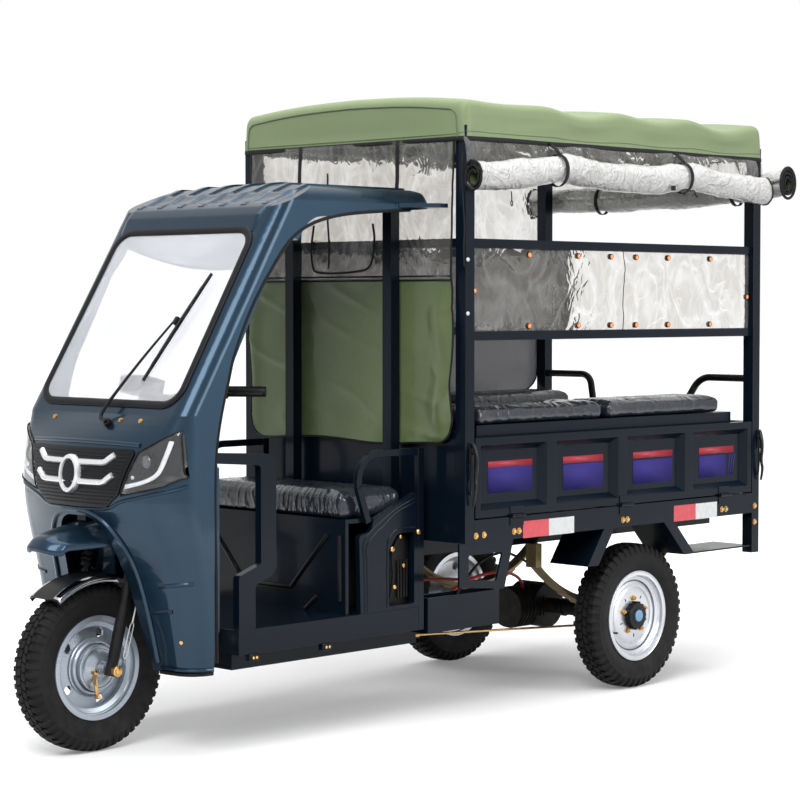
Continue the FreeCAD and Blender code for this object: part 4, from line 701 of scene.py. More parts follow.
def front_wheel_details():
    """The front rim's lips and dish, the brake plate, its arm and the axle nut."""
    centre = Vector((0, axle_y, tyre_radius))
    rim_face = 0.046
    for side in (-1, 1):
        out = left * side
        bm = bmesh.new()
        add_turned(bm, [(rim_face + a, r) for a, r in rim_edge], centre, out, steps=96)
        if side > 0:
            dish = [(0.0185, 0.096), (0.022, 0.092), (0.03, 0.09), (0.034, 0.087), (0.036, 0.084),
                    (0.036, 0.08), (0.03, 0.078), (0.015, 0.078)]
        else:
            dish = [(0.0185, 0.096), (0.026, 0.08), (0.03, 0.05), (0.015, 0.05)]
        add_turned(bm, dish, centre, out, steps=96)
        piece(bm, "front rim lip %d" % side, rim_grey, "front_wheel")
    bm = bmesh.new()
    add_turned(bm, [(0.03, 0.0), (0.03, 0.077), (0.049, 0.076), (0.05, 0.074), (0.05, 0.069),
                    (0.053, 0.068), (0.053, 0.064), (0.05, 0.062), (0.05, 0.052), (0.054, 0.044),
                    (0.064, 0.03), (0.066, 0.024), (0.066, 0.0)], centre, left, steps=72, closed=False)
    for radius, end in ((0.0195, 0.075), (0.017, 0.092)):
        add_rod(bm, centre + left * 0.066, centre + left * end, radius, 32, bevel=0.0008)
    piece(bm, "front brake plate", rim_grey, "steering")
    bm = bmesh.new()
    low = Vector((0.064, axle_y - 0.03, tyre_radius - 0.008))
    tip = Vector((0.07, axle_y - 0.022, tyre_radius - 0.088))
    add_rod(bm, low - left * 0.01, low + left * 0.012, 0.0085, 16, bevel=0.001)
    elbow = low * 0.5 + tip * 0.5 + Vector((0.004, -0.004, 0))
    for a, b, half_width in ((low, elbow, 0.0085), (elbow, tip, 0.0065)):
        reach = (b - a).length / 2 + 0.004
        add_brick(bm, (a + b) / 2, (half_width, 0.0025, reach), 0.001, 2,
                  along(a, b).to_3x3() @ Matrix.Rotation(pi / 2, 3, "Z"))
    add_rod(bm, tip - left * 0.008, tip + left * 0.01, 0.0065, 16, bevel=0.001)
    nut = centre + left * 0.134
    add_rod(bm, nut, nut + left * 0.0145, 0.0195, 6, bevel=0.0015)
    add_rod(bm, nut + left * 0.0145, nut + left * 0.0175, 0.011, 20, bevel=0.002)
    piece(bm, "front brake arm and axle nut", brass, body="steering")


front_wheel_details()

# Fork springs, the link beside the left leg and the mudguard's bright edge.
rake = radians(15.0)
steer_up = Vector((0, sin(rake), cos(rake)))
leg_x = 0.112


def fork_details():
    """The coil springs round the legs, and the brake link."""
    foot = Vector((0, axle_y, tyre_radius))
    bm = bmesh.new()
    turns, steps = 6.5, 20
    across = steer_up.cross(left)
    for side in (-1, 1):
        base = foot + Vector((side * leg_x, 0, 0)) + steer_up * 0.316
        points = []
        for i in range(int(turns * steps) + 1):
            angle = 2 * pi * i / steps
            rise = 0.1 * i / (turns * steps)
            points.append(base + steer_up * rise + 0.0235 * (left * cos(angle) + across * sin(angle)))
        add_line(bm, points, 0.0048, resolution=1)
    piece(bm, "fork springs", cast_black, "steering")
    bm = bmesh.new()
    side = Vector((leg_x + 0.02, 0, 0))
    top = foot + side + steer_up * 0.3 + Vector((0, 0.036, 0))
    low = foot + side + steer_up * 0.035 + Vector((0, 0.03, 0))
    mid = top * 0.45 + low * 0.55
    add_rod(bm, top, mid, 0.0032, 12)
    for offset in (-0.0075, 0.0075):
        shift = Vector((0, offset, 0))
        add_tube(bm, [mid, mid + shift * 0.9 - steer_up * 0.008, mid + shift - steer_up * 0.02,
                      low + shift + steer_up * 0.02, low + shift * 0.8 + steer_up * 0.006, low], 0.0019, rounds=2)
    piece(bm, "brake link", silver, body="steering")


fork_details()


def mudguard_trim():
    """The bright rolled edge along both sides of the front mudguard."""
    centre = Vector((0, axle_y, tyre_radius))
    section = ((0.0735, 0.279), (0.074, 0.2935), (0.069, 0.2965), (0.056, 0.3005), (0.053, 0.3005),
               (0.053, 0.2985))
    bm = bmesh.new()
    first, last = radians(90 + 37), radians(90 - 47)
    count = 40
    for side in (-1, 1):
        rows = []
        for i in range(count + 1):
            angle = first + (last - first) * i / count
            out = Vector((0, cos(angle), sin(angle)))
            rows.append([bm.verts.new(centre + Vector((side * x, 0, 0)) + out * r) for x, r in section])
        add_skin(bm, rows)
    thicken(piece(bm, "mudguard bright edge", chrome, body="steering", sharp=radians(50)), 0.0012, 0)


mudguard_trim()

# Cab: headlamps, arch lip, ridges, edge seal, screws, grille slats and wiper.
cab_tree = skin_of("cab_front")
cab_roof_tree = skin_of("cab_front", "cab_roof")
lamp_tree = skin_of("headlamps")
grille_tree = skin_of("grille")


def on_front(tree, x, z, lift=0.0):
    """A place on the nose, met from the front, lifted along the skin's normal."""
    hit, normal = spot(tree, (x, axle_y - 1.0, z), (0, 1, 0))
    if hit is None:
        return None, None
    return hit + normal * lift, normal


def from_side(tree, side, d, z):
    """A place met from beside the vehicle, at a distance behind the front axle and a height."""
    return spot(tree, (side * 1.0, back(d), z), (-side, 0, 0))


def smooth_run(points, steps=8):
    """More points along a run, through all of its own."""
    made = []
    for i in range(len(points) - 1):
        near = (points[max(i - 1, 0)], points[i], points[i + 1], points[min(i + 2, len(points) - 1)])
        for k in range(steps):
            t = k / steps
            made.append(tuple(0.5 * (2 * b + (c - a) * t + (2 * a - 5 * b + 4 * c - d) * t * t
                                     + (3 * b - a - 3 * c + d) * t ** 3) for a, b, c, d in zip(*near)))
    made.append(tuple(points[-1]))
    return made


def front_run(tree, corners, lift, steps=8):
    """Places on the nose below a run of (x, z) corners."""
    found = [on_front(tree, x, z, lift)[0] for x, z in smooth_run(corners, steps)]
    return [hit for hit in found if hit is not None]


def nose_lines():
    """The lips of the wheel arch, the ridge over it and the hood's brow, and two dents a shield."""
    bm = bmesh.new()
    for corners, lift, steps, radius in (
            ([(0.236, 0.3), (0.228, 0.42), (0.212, 0.56), (0.196, 0.64), (0.165, 0.7), (0.118, 0.752),
              (0.06, 0.776), (0.0, 0.781)], 0.001, 6, 0.0085),
            ([(0.4, 0.868), (0.372, 0.853), (0.3, 0.836), (0.212, 0.815), (0.15, 0.79), (0.07, 0.786),
              (0.0, 0.785)], -0.001, 6, 0.006),
            ([(0.268, 0.992), (0.2, 0.995), (0.1, 0.997), (0.0, 0.998)], -0.0005, 5, 0.008)):
        half = front_run(cab_tree, corners, lift, steps)
        add_line(bm, half + [Vector((-p.x, p.y, p.z)) for p in reversed(half[:-1])], radius, 3)
    piece(bm, "nose edges", cab_paint)
    bm = bmesh.new()
    for side in (-1, 1):
        for x, z in ((0.392, 0.56), (0.33, 0.47)):
            run = [(side * (x - 0.1 * t), z - 0.012 * t) for t in (0.0, 0.33, 0.66, 1.0)]
            found = front_run(cab_tree, run, -0.0042, 4)
            if len(found) > 3:
                add_line(bm, found, 0.0085, 3)
    piece(bm, "shield ridges", cab_paint)


def edge_seal():
    """The black seal along the door edge of the cab, on both sides."""
    edge = [(0.205, 0.3), (0.196, 0.42), (0.188, 0.64), (0.186, 0.86), (0.193, 0.982), (0.214, 1.09),
            (0.244, 1.195), (0.263, 1.261), (0.3, 1.345), (0.355, 1.444), (0.42, 1.535), (0.507, 1.637),
            (0.587, 1.687), (0.709, 1.722), (0.86, 1.74), (1.063, 1.752)]
    bm = bmesh.new()
    for side in (-1, 1):
        points = []
        for d, z in smooth_run(edge, 3):
            hit, _ = from_side(cab_roof_tree, side, d - 0.012, z)
            x = abs(hit.x) if hit is not None else 0.4
            points.append(at(side * min(max(x, 0.385), 0.402), d + 0.001, z))
        add_line(bm, points, 0.0058)
    piece(bm, "door edge seal", rubber)


nose_lines()
edge_seal()


def screws():
    """Hexagon screws: three with washers under the windscreen, and four on the shields."""
    bm = bmesh.new()
    for x, z in ((-0.219, 1.065), (0.126, 1.065), (0.221, 1.065)):
        place, normal = on_front(cab_tree, x, z)
        add_rod(bm, place - normal * 0.001, place + normal * 0.0022, 0.0088, 20)
        add_rod(bm, place + normal * 0.0022, place + normal * 0.0065, 0.0058, 6, bevel=0.0008)
    for x, z in ((-0.35, 0.64), (-0.352, 0.56), (0.345, 0.372), (-0.345, 0.372)):
        place, normal = on_front(cab_tree, x, z)
        add_rod(bm, place - normal * 0.001, place + normal * 0.004, 0.007, 6, bevel=0.0008)
    piece(bm, "hood screws", brass)


screws()
lamp_corners = [(0.272, 0.972), (0.392, 1.042), (0.401, 0.892), (0.362, 0.866), (0.212, 0.832)]
lamp_middle = (0.33, 0.925)


def lamp_ring(shrink):
    """(x, z) places round the lamp's outline, drawn in towards its middle."""
    points = []
    for (x, z), (nx, nz) in zip(lamp_corners, lamp_corners[1:] + lamp_corners[:1]):
        for k in range(10):
            edge = (x + (nx - x) * k / 10, z + (nz - z) * k / 10)
            points.append(tuple(middle + (e - middle) * shrink for middle, e in zip(lamp_middle, edge)))
    return points


def on_lamp(x, z, first=lamp_tree, second=cab_tree):
    """A place on the lamp, or on the nose beside it where the lamp isn't met."""
    hit, normal = on_front(first, x, z)
    return (hit, normal) if hit is not None else on_front(second, x, z)


def lamp_skin(bm, rings, tip, depths):
    """A closed sheet over the lamp's rings, each lifted by its own depth, ending in the lamp's middle."""
    rows = [[bm.verts.new(hit + normal * depth) for hit, normal in ring] for ring, depth in zip(rings, depths)]
    add_skin(bm, rows, around=True)
    hit, normal = tip
    end = bm.verts.new(hit + normal * depths[-1])
    last = rows[-1]
    for a, b in zip(last, last[1:] + last[:1]):
        bm.faces.new((a, b, end))
    return rows[0]


def headlamp(side, suffix):
    """Clear cover, dark tray, projector, light strip and bezel in the lamp's outline."""
    rings = [[on_lamp(side * x, z) for x, z in lamp_ring(shrink)] for shrink in (0.99, 0.93, 0.8, 0.6, 0.4, 0.2)]
    outside = [on_lamp(side * x, z, cab_tree, lamp_tree) for x, z in lamp_ring(1.05)]
    rings.insert(0, [outer if outer[0] is not None and (outer[0] - near[0]).length < 0.03 else near
                     for outer, near in zip(outside, rings[0])])
    tip = on_front(lamp_tree, side * lamp_middle[0], lamp_middle[1])
    bm = bmesh.new()
    outer = lamp_skin(bm, rings, tip, [-0.0035] + [0.0] * 7)
    inner = lamp_skin(bm, rings, tip, [-0.006] + [-0.0025] * 7)
    for i in range(len(outer)):
        j = (i + 1) % len(outer)
        bm.faces.new((outer[j], outer[i], inner[i], inner[j]))
    piece(bm, "lamp cover " + suffix, lens)
    bm = bmesh.new()
    lamp_skin(bm, rings, tip, [-0.007, -0.004, -0.012, -0.0165, -0.0185, -0.02, -0.02, -0.02])
    piece(bm, "lamp tray " + suffix, plastic_black, outward=False)
    bm = bmesh.new()
    add_line(bm, [hit + normal * 0.0005 for hit, normal in rings[1]], 0.003, closed=True)
    piece(bm, "lamp rim " + suffix, plastic_matt)

    bm = bmesh.new()
    strip = smooth_run([(0.372, 1.008), (0.36, 0.95), (0.343, 0.905), (0.3, 0.88), (0.228, 0.862)], 8)
    rows = []
    for i, (x, z) in enumerate(strip):
        nx, nz = strip[min(i + 1, len(strip) - 1)]
        px, pz = strip[max(i - 1, 0)]
        run = Vector((nx - px, 0, nz - pz)).normalized()
        row = []
        for half_width in (-0.0065, 0.0065):
            place, normal = on_lamp(side * (x + run.z * half_width), z - run.x * half_width)
            row.append(bm.verts.new(place - normal * 0.0065))
        rows.append(row)
    for a, b in zip(rows, rows[1:]):
        bm.faces.new((a[0], b[0], b[1], a[1]))
    thicken(piece(bm, "lamp strip " + suffix, lamp_white, outward=False), 0.003)

    place, normal = on_front(lamp_tree, side * 0.298, 0.945)
    look = Vector((side * 0.1, -1.0, 0.05)).normalized()
    seat = place - normal * 0.021
    for name, finish, slot, profile in (
            ("projector ring ", plastic_matt, "black_plastic",
             [(0.0, 0.0), (0.0, 0.033), (0.01, 0.033), (0.014, 0.03), (0.012, 0.025), (0.006, 0.024), (0.006, 0.0)]),
            ("projector glass ", projector_glass, "lamp_lens",
             [(0.0065, 0.0235), (0.0115, 0.02), (0.015, 0.013), (0.0165, 0.006), (0.0168, 0.0)])):
        bm = bmesh.new()
        add_turned(bm, profile, seat, look, 48, closed=False)
        piece(bm, name + suffix, finish)
    bm = bmesh.new()
    for x, z in ((0.252, 0.893), (0.322, 0.893)):
        place, normal = on_front(lamp_tree, side * x, z)
        add_rod(bm, place - normal * 0.019, place - normal * 0.013, 0.0058, 20, bevel=0.001)
    piece(bm, "lamp dots " + suffix, lamp_white)


for side, suffix in sides:
    headlamp(side, suffix)
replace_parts(bpy.data.objects["lamp_cover_left"], "headlamps")


def grille_slats():
    """Ribs across the grille panel, following its width at each height."""
    bm = bmesh.new()
    for i in range(15):
        z = 0.806 + 0.0115 * i
        half = 0.15 + (0.206 - 0.15) * min(1.0, max(0.0, (z - 0.792) / 0.044))
        if z > 0.836:
            half = 0.206 + (0.262 - 0.206) * (z - 0.836) / 0.144
        half -= 0.012
        points = front_run(grille_tree, [(-half + 2 * half * k / 10, z) for k in range(11)], 0.0005, 2)
        if len(points) > 4:
            add_line(bm, points, 0.0022, 1)
    piece(bm, "grille ribs", plastic_matt)


grille_slats()

# The windscreen's plane: places by x, distance up the slope and lift off the glass.
slope = atan2(0.37, 0.605)
screen_up = Vector((0, sin(slope), cos(slope)))
screen_out = Vector((0, -cos(slope), sin(slope)))
screen_foot = at(0, 0.055, 1.085)


def on_screen(x, rise, out=0.0):
    """A place on the windscreen."""
    return screen_foot + Vector((x, 0, 0)) + screen_up * rise + screen_out * out


def wiper():
    """The wiper's pivot, arm and blade."""
    bm = bmesh.new()
    add_rod(bm, on_screen(0.085, -0.045, 0.004), on_screen(0.085, -0.045, 0.03), 0.0135, 24, bevel=0.002)
    add_rod(bm, on_screen(0.085, -0.045, 0.03), on_screen(0.085, -0.045, 0.038), 0.0075, 6, bevel=0.001)
    spine = [on_screen(*place) for place in (
        (0.085, -0.045, 0.026), (0.06, -0.04, 0.027), (0.042, -0.03, 0.028), (0.048, 0.01, 0.029),
        (0.09, 0.11, 0.031), (0.145, 0.235, 0.031), (0.196, 0.338, 0.029))]
    add_tube(bm, spine, 0.005, taper=[1.5, 1.5, 1.3, 1.1, 1.0, 0.85, 0.7])
    add_brick(bm, on_screen(0.195, 0.33, 0.024), (0.008, 0.008, 0.014), 0.003, 2, Matrix.Rotation(-slope, 3, "X"))
    start, end = on_screen(0.158, 0.112, 0.0205), on_screen(0.252, 0.512, 0.0205)
    run = end - start
    add_tube(bm, [start + run * t + screen_out * (0.0035 * sin(pi * t))
                  for t in (0.0, 0.2, 0.4, 0.6, 0.8, 1.0)], 0.0032, rounds=2)
    for t in (0.18, 0.36, 0.66, 0.84):
        place = start + run * t
        add_tube(bm, [place - run * 0.07 + screen_out * 0.001, place + screen_out * 0.0065,
                      place + run * 0.07 + screen_out * 0.001], 0.0022, rounds=2)
    piece(bm, "wiper arm", plastic_black)
    bm = bmesh.new()
    across = run.normalized().cross(screen_out)
    rows = [[bm.verts.new(start + run * (k / 12) + across * a + screen_out * b) for a, b in
             ((-0.003, -0.002), (0.003, -0.002), (0.0008, -0.0085), (-0.0008, -0.0085))] for k in range(13)]
    add_skin(bm, rows, around=True)
    bm.faces.new(rows[0])
    bm.faces.new(rows[-1])
    piece(bm, "wiper blade", rubber)


wiper()


# Soft goods: canopy, curtains, films and rolls.
canopy_low, canopy_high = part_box("canopy")
hem_z = canopy_low.z
hoop_line = [0.0235 + (box_rear_y - box_front_y - 0.046) * i / 4 for i in range(5)]
bay_sags = (0.006, 0.024, 0.018, 0.03)
canopy_corner = 0.034
cloth_wall = 0.0012
side_steps = 8
film_seam = 0.0016


def cloth_noise(x, y, seed, scale=6.0):
    """Slow noise over a cloth."""
    return noise.noise(Vector((x * scale, y * scale, seed)))


def canopy_sag(y):
    """How far the cloth hangs below the hoops' line at y."""
    d = y - box_front_y
    for i in range(4):
        if hoop_line[i] <= d <= hoop_line[i + 1]:
            t = (d - hoop_line[i]) / (hoop_line[i + 1] - hoop_line[i])
            return bay_sags[i] * sin(pi * t) ** 1.5
    return 0.0


def canopy_profile(y, shrink):
    """(x, z) round the canopy at y: the side from the hem up, the corner, and the top."""
    sag = canopy_sag(y)
    half = canopy_high.x - 0.0015 - shrink
    top = canopy_high.z - 0.03 - shrink - sag
    side, over = [], []
    for k in range(side_steps):
        t = k / side_steps
        belly = 0.3 * sag * sin(pi * min(1.0, t + 0.15))
        side.append((half - 0.005 * t - belly + 0.0015 * cloth_noise(y, t, 3.0, 5.0),
                     hem_z + (top - canopy_corner - hem_z) * t))
    for k in range(7):
        a = pi / 2 * k / 6
        over.append((half - 0.006 - canopy_corner * (1 - cos(a)), top - canopy_corner * (1 - sin(a))))
    edge = over[-1][0]
    for k in range(1, 16):
        x = edge * (1 - k / 15)
        over.append((x, top + (0.028 - 0.25 * sag) * (1 - (x / edge) ** 2) + 0.002 * cloth_noise(x, y, 7.0, 4.0)))
    return side, over


def canopy_places():
    """(y, shrink) of the canopy's sections, rounded at its front and rear."""
    first, last = canopy_low.y + 0.0015, canopy_high.y - 0.0015
    quarter = [sin(pi / 2 * k / 5) for k in range(6)]
    places = sorted((first + canopy_corner * (1 - quarter[5 - k]), canopy_corner * (1 - quarter[k])) for k in range(6))
    places += [(first + canopy_corner + (last - first - 2 * canopy_corner) * i / 64, 0.0) for i in range(1, 64)]
    for k in range(6):
        a = pi / 2 * k / 5
        places.append((last - canopy_corner * (1 - sin(a)), canopy_corner * (1 - cos(a))))
    return places


def canopy_end(bm, section, inward):
    """The flat cloth at the canopy's front or rear; gives back its hem and its arc."""
    low_side, top, far_side = section
    levels = []
    for lv, rv in zip(low_side, far_side):
        row = [lv]
        for v in top[1:-1]:
            share = min(0.999, max(0.001, (v.co.x - rv.co.x) / (lv.co.x - rv.co.x)))
            x = rv.co.x + (lv.co.x - rv.co.x) * share
            depth = 0.006 * sin(pi * share) * sin(pi * min(1.0, (lv.co.z - hem_z) / 0.11 + 0.2))
            row.append(bm.verts.new((x, lv.co.y + inward * depth + 0.0015 * cloth_noise(x, lv.co.z, 5.0), lv.co.z)))
        levels.append(row + [rv])
    levels.append(top)
    add_skin(bm, levels)
    return ([v.co.copy() for v in levels[0]],
            [v.co.copy() for v in low_side + top + list(reversed(far_side))])


def canopy_sheet():
    """The tarpaulin roof in one sheet, with its taped hem, piping and stitching."""
    bm = bmesh.new()
    rows, sections = [], []
    for y, shrink in canopy_places():
        side, over = canopy_profile(y, shrink)
        wave = 0.003 * cloth_noise(y, 0.3, 11.0, 3.0)
        side[0] = (side[0][0], side[0][1] + wave)
        near = [bm.verts.new((x, y, z)) for x, z in side]
        top = [bm.verts.new((x, y, z)) for x, z in over] + [bm.verts.new((-x, y, z)) for x, z in reversed(over[:-1])]
        far = [bm.verts.new((-x, y, z)) for x, z in side]
        rows.append(near + top + list(reversed(far)))
        sections.append((near, top, far))
    add_skin(bm, rows)
    front_hem, front_arc = canopy_end(bm, sections[0], 1)
    rear_hem, rear_arc = canopy_end(bm, sections[-1], -1)
    hems = [[section[end][0].co.copy() for section in sections] for end in (0, 2)]
    stitches = [[section[end][2].co.copy() for section in sections] for end in (0, 2)]
    area = sum(f.calc_area() for f in bm.faces)
    cover = piece(bm, "canopy cover", canopy_cloth, sharp=radians(60))
    thicken(cover, 0.0014)
    soften(cover)
    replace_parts(cover, "canopy")
    loop = hems[0] + rear_hem[1:-1] + list(reversed(hems[1])) + list(reversed(front_hem))[1:-1]
    bm = bmesh.new()
    middle = Vector((0, (canopy_low.y + canopy_high.y) / 2, 0))
    tape = []
    for i, place in enumerate(loop):
        out = (loop[(i + 1) % len(loop)] - loop[i - 1]).normalized().cross(up).normalized()
        if out.dot(Vector((place.x, place.y - middle.y, 0))) < 0:
            out = -out
        tape.append([bm.verts.new(place + out * a + Vector((0, 0, b))) for a, b in
                     ((0.0012, 0.01), (0.003, 0.008), (0.0036, 0.0), (0.003, -0.005), (0.0, -0.007),
                      (-0.003, -0.005), (-0.0036, 0.0), (-0.0028, 0.008))])
    add_skin(bm, tape, around=True, close=True)
    hem = piece(bm, "canopy hem", binding, sharp=radians(70))
    bm = bmesh.new()
    add_line(bm, front_arc, 0.0034)
    add_line(bm, rear_arc, 0.0028)
    piping = piece(bm, "canopy piping", canopy_thread)
    bm = bmesh.new()
    for run in stitches:
        add_line(bm, [p + Vector((copysign(0.0006, p.x), 0, 0)) for p in run], 0.0013, 1)
    add_line(bm, [Vector((p.x, p.y - 0.0006, stitches[0][0].z)) for p in front_hem], 0.0013, 1)
    stitching = piece(bm, "canopy stitching", canopy_thread)


canopy_sheet()


def grid_sheet(name, place, columns, rows, finishes, thickness=0.0):
    """A sheet from place(u, v), each from 0 to 1; gives back its area and the runs of its foot and head."""
    bm = bmesh.new()
    verts = [[bm.verts.new(place(i / columns, j / rows)) for i in range(columns + 1)] for j in range(rows + 1)]
    add_skin(bm, verts)
    area = sum(f.calc_area() for f in bm.faces)
    edges = [[v.co.copy() for v in row] for row in (verts[0], verts[-1])]
    obj = piece(bm, name, finishes, sharp=radians(70), outward=False)
    if thickness:
        solid = thicken(obj, thickness, 0)
        if len(finishes) > 1:
            solid.material_offset = 1
    soften(obj)
    return obj, area, edges


def fold_height(u, v, seed, reach):
    """Long soft folds that run mostly down the sheet, with a few slanting creases, their high side held back."""
    slow = noise.noise(Vector((u * 3.0 + v * 0.8, v * 0.9, seed)))
    mid = noise.noise(Vector((u * 9.0 + v * 3.0, v * 2.0, seed + 4.0)))
    ridge = (1.0 - min(1.0, abs(noise.noise(Vector((u * 4.0 - v * 3.0, v * 2.4 + u, seed + 9.0)))) * 3.2)) ** 2
    raw = 1.15 * slow + 0.5 * mid - 0.45 * ridge
    return reach * (0.35 - log(1 + exp(6.0 * (0.35 - raw))) / 6.0)


def corner_rise(inset, turn):
    """How far a rounded lower corner lifts the foot of a sheet, at a distance in from its edge."""
    if inset >= turn:
        return 0.0
    t = 1 - inset / turn
    return turn * (1 - sqrt(max(0.0, 1 - t * t)))


def edge_points(place, u, steps):
    """Places down one side of a sheet."""
    return [Vector(place(u, k / steps)) for k in range(steps + 1)]


curtain_low, curtain_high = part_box("front_curtain")
curtain_y = (curtain_low.y + curtain_high.y) / 2
curtain_top = hem_z + 0.004
division_front = 1.522


def front_curtain():
    """The cloth and film behind the driver, taped together, with two tapes, a zip line and a strap."""
    half = curtain_high.x

    def pleat(x):
        return 0.03 * exp(-((x - 0.455) / 0.04) ** 2)

    def lower(u, v):
        x = half - 2 * half * u
        foot = curtain_low.z + 0.004
        rise = corner_rise(half - abs(x), 0.075)
        z = foot + rise + (division_front - foot - rise) * v + 0.006 * sin(11.0 * u + 0.8) * (1 - v) ** 3
        y = curtain_y - 0.0035 + fold_height(u, v, 2.0, 0.011)
        y -= pleat(x) * sin(pi * min(1.0, v * 1.08)) ** 0.7 * (0.6 + 0.4 * sin(9.0 * v + 0.6))
        y -= 0.01 * exp(-((x + 0.495) / 0.03) ** 2) * sin(pi * v) ** 0.7
        return x + 0.005 * sin(8.0 * v) * (2 * u - 1) ** 5, y, z

    def upper(u, v):
        x = half - 2 * half * u
        y = curtain_y - 0.0035 * (1 - v) + fold_height(u, 1.0 + v, 2.0, 0.011) * (1 - 0.5 * v)
        y -= pleat(x) * sin(pi / 1.08) ** 0.7 * (0.6 + 0.4 * sin(9.0 + 0.6 + 4.0 * v)) * (1 - v)
        return (x + 0.005 * sin(8.0) * (2 * u - 1) ** 5 * (1 - v), y,
                division_front + (curtain_top - division_front) * v)

    def on_film(x, z):
        share = min(1.0, max(0.0, (z - division_front) / (curtain_top - division_front)))
        return Vector(upper((half - x) / (2 * half), share))

    low, low_area, low_edges = grid_sheet("front curtain cloth", lower, 96, 56, [painted_shade_lining, curtain_cloth],
                                          cloth_wall)
    high, high_area, _ = grid_sheet("front curtain film", upper, 54, 30, [film])
    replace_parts(low, "front_curtain")
    bm = bmesh.new()
    add_line(bm, low_edges[0], 0.0038)
    for side in (0, 1):
        add_line(bm, edge_points(lower, side, 24), 0.0036)
        add_line(bm, edge_points(upper, side, 18), 0.0036)
    for shift in (-0.007, 0.007):
        add_line(bm, [p + Vector((0, -0.001, shift)) for p in low_edges[1]], 0.0032)
    bound = piece(bm, "front curtain binding", binding)
    bm = bmesh.new()
    for x, low_z, high_z, half_width in ((-0.242, division_front, curtain_top, 0.0085),
                                         (0.247, division_front, curtain_top, 0.0085), (-0.098, 1.56, 1.9, 0.004)):
        rows = []
        for k in range(19):
            z = low_z + (high_z - low_z) * k / 18
            y = on_film(x, z).y - 0.0022
            rows.append([bm.verts.new((x + side * half_width, y, z)) for side in (-1, 1)])
        add_skin(bm, rows)
    strap = smooth_run([(-0.164, 1.715), (-0.176, 1.64), (-0.172, 1.57), (-0.15, 1.548), (-0.06, 1.543),
                        (0.04, 1.548), (0.11, 1.56), (0.134, 1.6), (0.14, 1.66), (0.132, 1.715)], 4)
    add_line(bm, [on_film(x, z) + Vector((0, -0.0065, 0)) for x, z in strap], 0.004)
    tapes = piece(bm, "front curtain tapes", binding, outward=False)
    thicken(tapes, 0.0016)


def right_curtain():
    """The curtain let down at the right: cloth below, film above."""
    low_box, high_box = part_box("right_curtain")
    base = (low_box.x + high_box.x) / 2
    division = 1.664

    def hung(u, z):
        v = (z - low_box.z) / (curtain_top - low_box.z)
        return (base - 0.001 - fold_height(u * 1.6, v, 21.0, 0.008), high_box.y - (high_box.y - low_box.y) * u, z)

    def lower(u, v):
        rise = corner_rise((high_box.y - low_box.y) * min(u, 1 - u), 0.1)
        return hung(u, low_box.z + rise + (division - low_box.z - rise) * v)

    def upper(u, v):
        return hung(u, division + (curtain_top - division) * v)

    low, low_area, low_edges = grid_sheet("right curtain cloth", lower, 112, 44, [curtain_cloth, painted_shade_lining],
                                          cloth_wall)
    high, high_area, _ = grid_sheet("right curtain film", upper, 64, 16, [film])
    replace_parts(low, "right_curtain")
    bm = bmesh.new()
    add_line(bm, low_edges[0], 0.0038)
    add_line(bm, low_edges[1], 0.0042)
    for side in (0, 1):
        add_line(bm, edge_points(lower, side, 16) + edge_points(upper, side, 10)[1:], 0.0036)
    bound = piece(bm, "right curtain binding", binding)


front_curtain()
right_curtain()
roll_turns = 2.4
strap_half = 0.0085


def roll_point(centre, a, b, along_y):
    """A place beside a roll's middle: a across it, b up."""
    return centre + (Vector((a, 0, b)) if along_y else Vector((0, a, b)))


def roll_sheet(name, node, along_y, path, radii, straps, web_top):
    """A rolled curtain: a spiral sheet swept along a sagging path, with bound ends and straps."""
    rx, rz = radii
    last = len(path) - 1
    steps = int(roll_turns * 26)
    bm = bmesh.new()
    rows = []
    for i, centre in enumerate(path):
        run_on = centre.dot(Vector((1, 1, 0)))
        pinch = 1.0
        for s in straps:
            pinch -= 0.13 * exp(-(abs(i / last - s) / 0.018) ** 2)
        row = []
        for k in range(steps + 1):
            t = k / steps
            angle = 2 * pi * roll_turns * t + 0.5
            soft = noise.noise(Vector((run_on * 7.0, cos(angle) * 1.3, sin(angle) * 1.3 + 5)))
            sharp = abs(noise.noise(Vector((run_on * 13.0 + sin(angle) * 2.2, cos(angle) * 1.2, t * 2.0))))
            wobble = 0.96 + 0.11 * soft + 0.075 * (1 - min(1.0, sharp * 4.0))
            reach = (0.34 + 0.66 * t) * wobble * pinch
            across, rise = rx * reach * cos(angle), rz * reach * sin(angle)
            row.append(bm.verts.new(roll_point(centre, across, rise, along_y)))
        rows.append(row)
    add_skin(bm, rows)
    for number, face in enumerate(bm.faces):
        face.material_index = 1 if number % steps < steps * 0.56 else 0
    ends = [[v.co.copy() for v in row] for row in (rows[0], rows[-1])]
    area = sum(f.calc_area() for f in bm.faces)
    cloth = piece(bm, name, [roll_cloth, curtain_cloth], sharp=radians(70), outward=False)
    thicken(cloth, 0.0016, 0)
    bm = bmesh.new()
    for run in ends:
        add_line(bm, run, 0.0042)
    bound = piece(bm, name + " binding", binding)
    bm = bmesh.new()
    for s in straps:
        i = round(s * last)
        centre = path[i]
        half = (path[min(i + 1, last)] - path[max(i - 1, 0)]).normalized() * strap_half
        loop = [roll_point(centre, (rx * 0.9 + 0.003) * a, (rz * 0.9 + 0.003) * b, along_y)
                for a, b in round_steps(28)]
        quads = [(p - half, p + half, q + half, q - half) for p, q in zip(loop, loop[1:] + loop[:1])]
        outer, top = roll_point(centre, rx * 0.2, rz * 0.92, along_y), web_top(centre)
        for quad in quads + [(outer - half, outer + half, top + half, top - half)]:
            bm.faces.new([bm.verts.new(v) for v in quad])
    bands = piece(bm, name + " straps", binding)
    thicken(bands, 0.0022, 1)
    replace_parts(cloth, node)


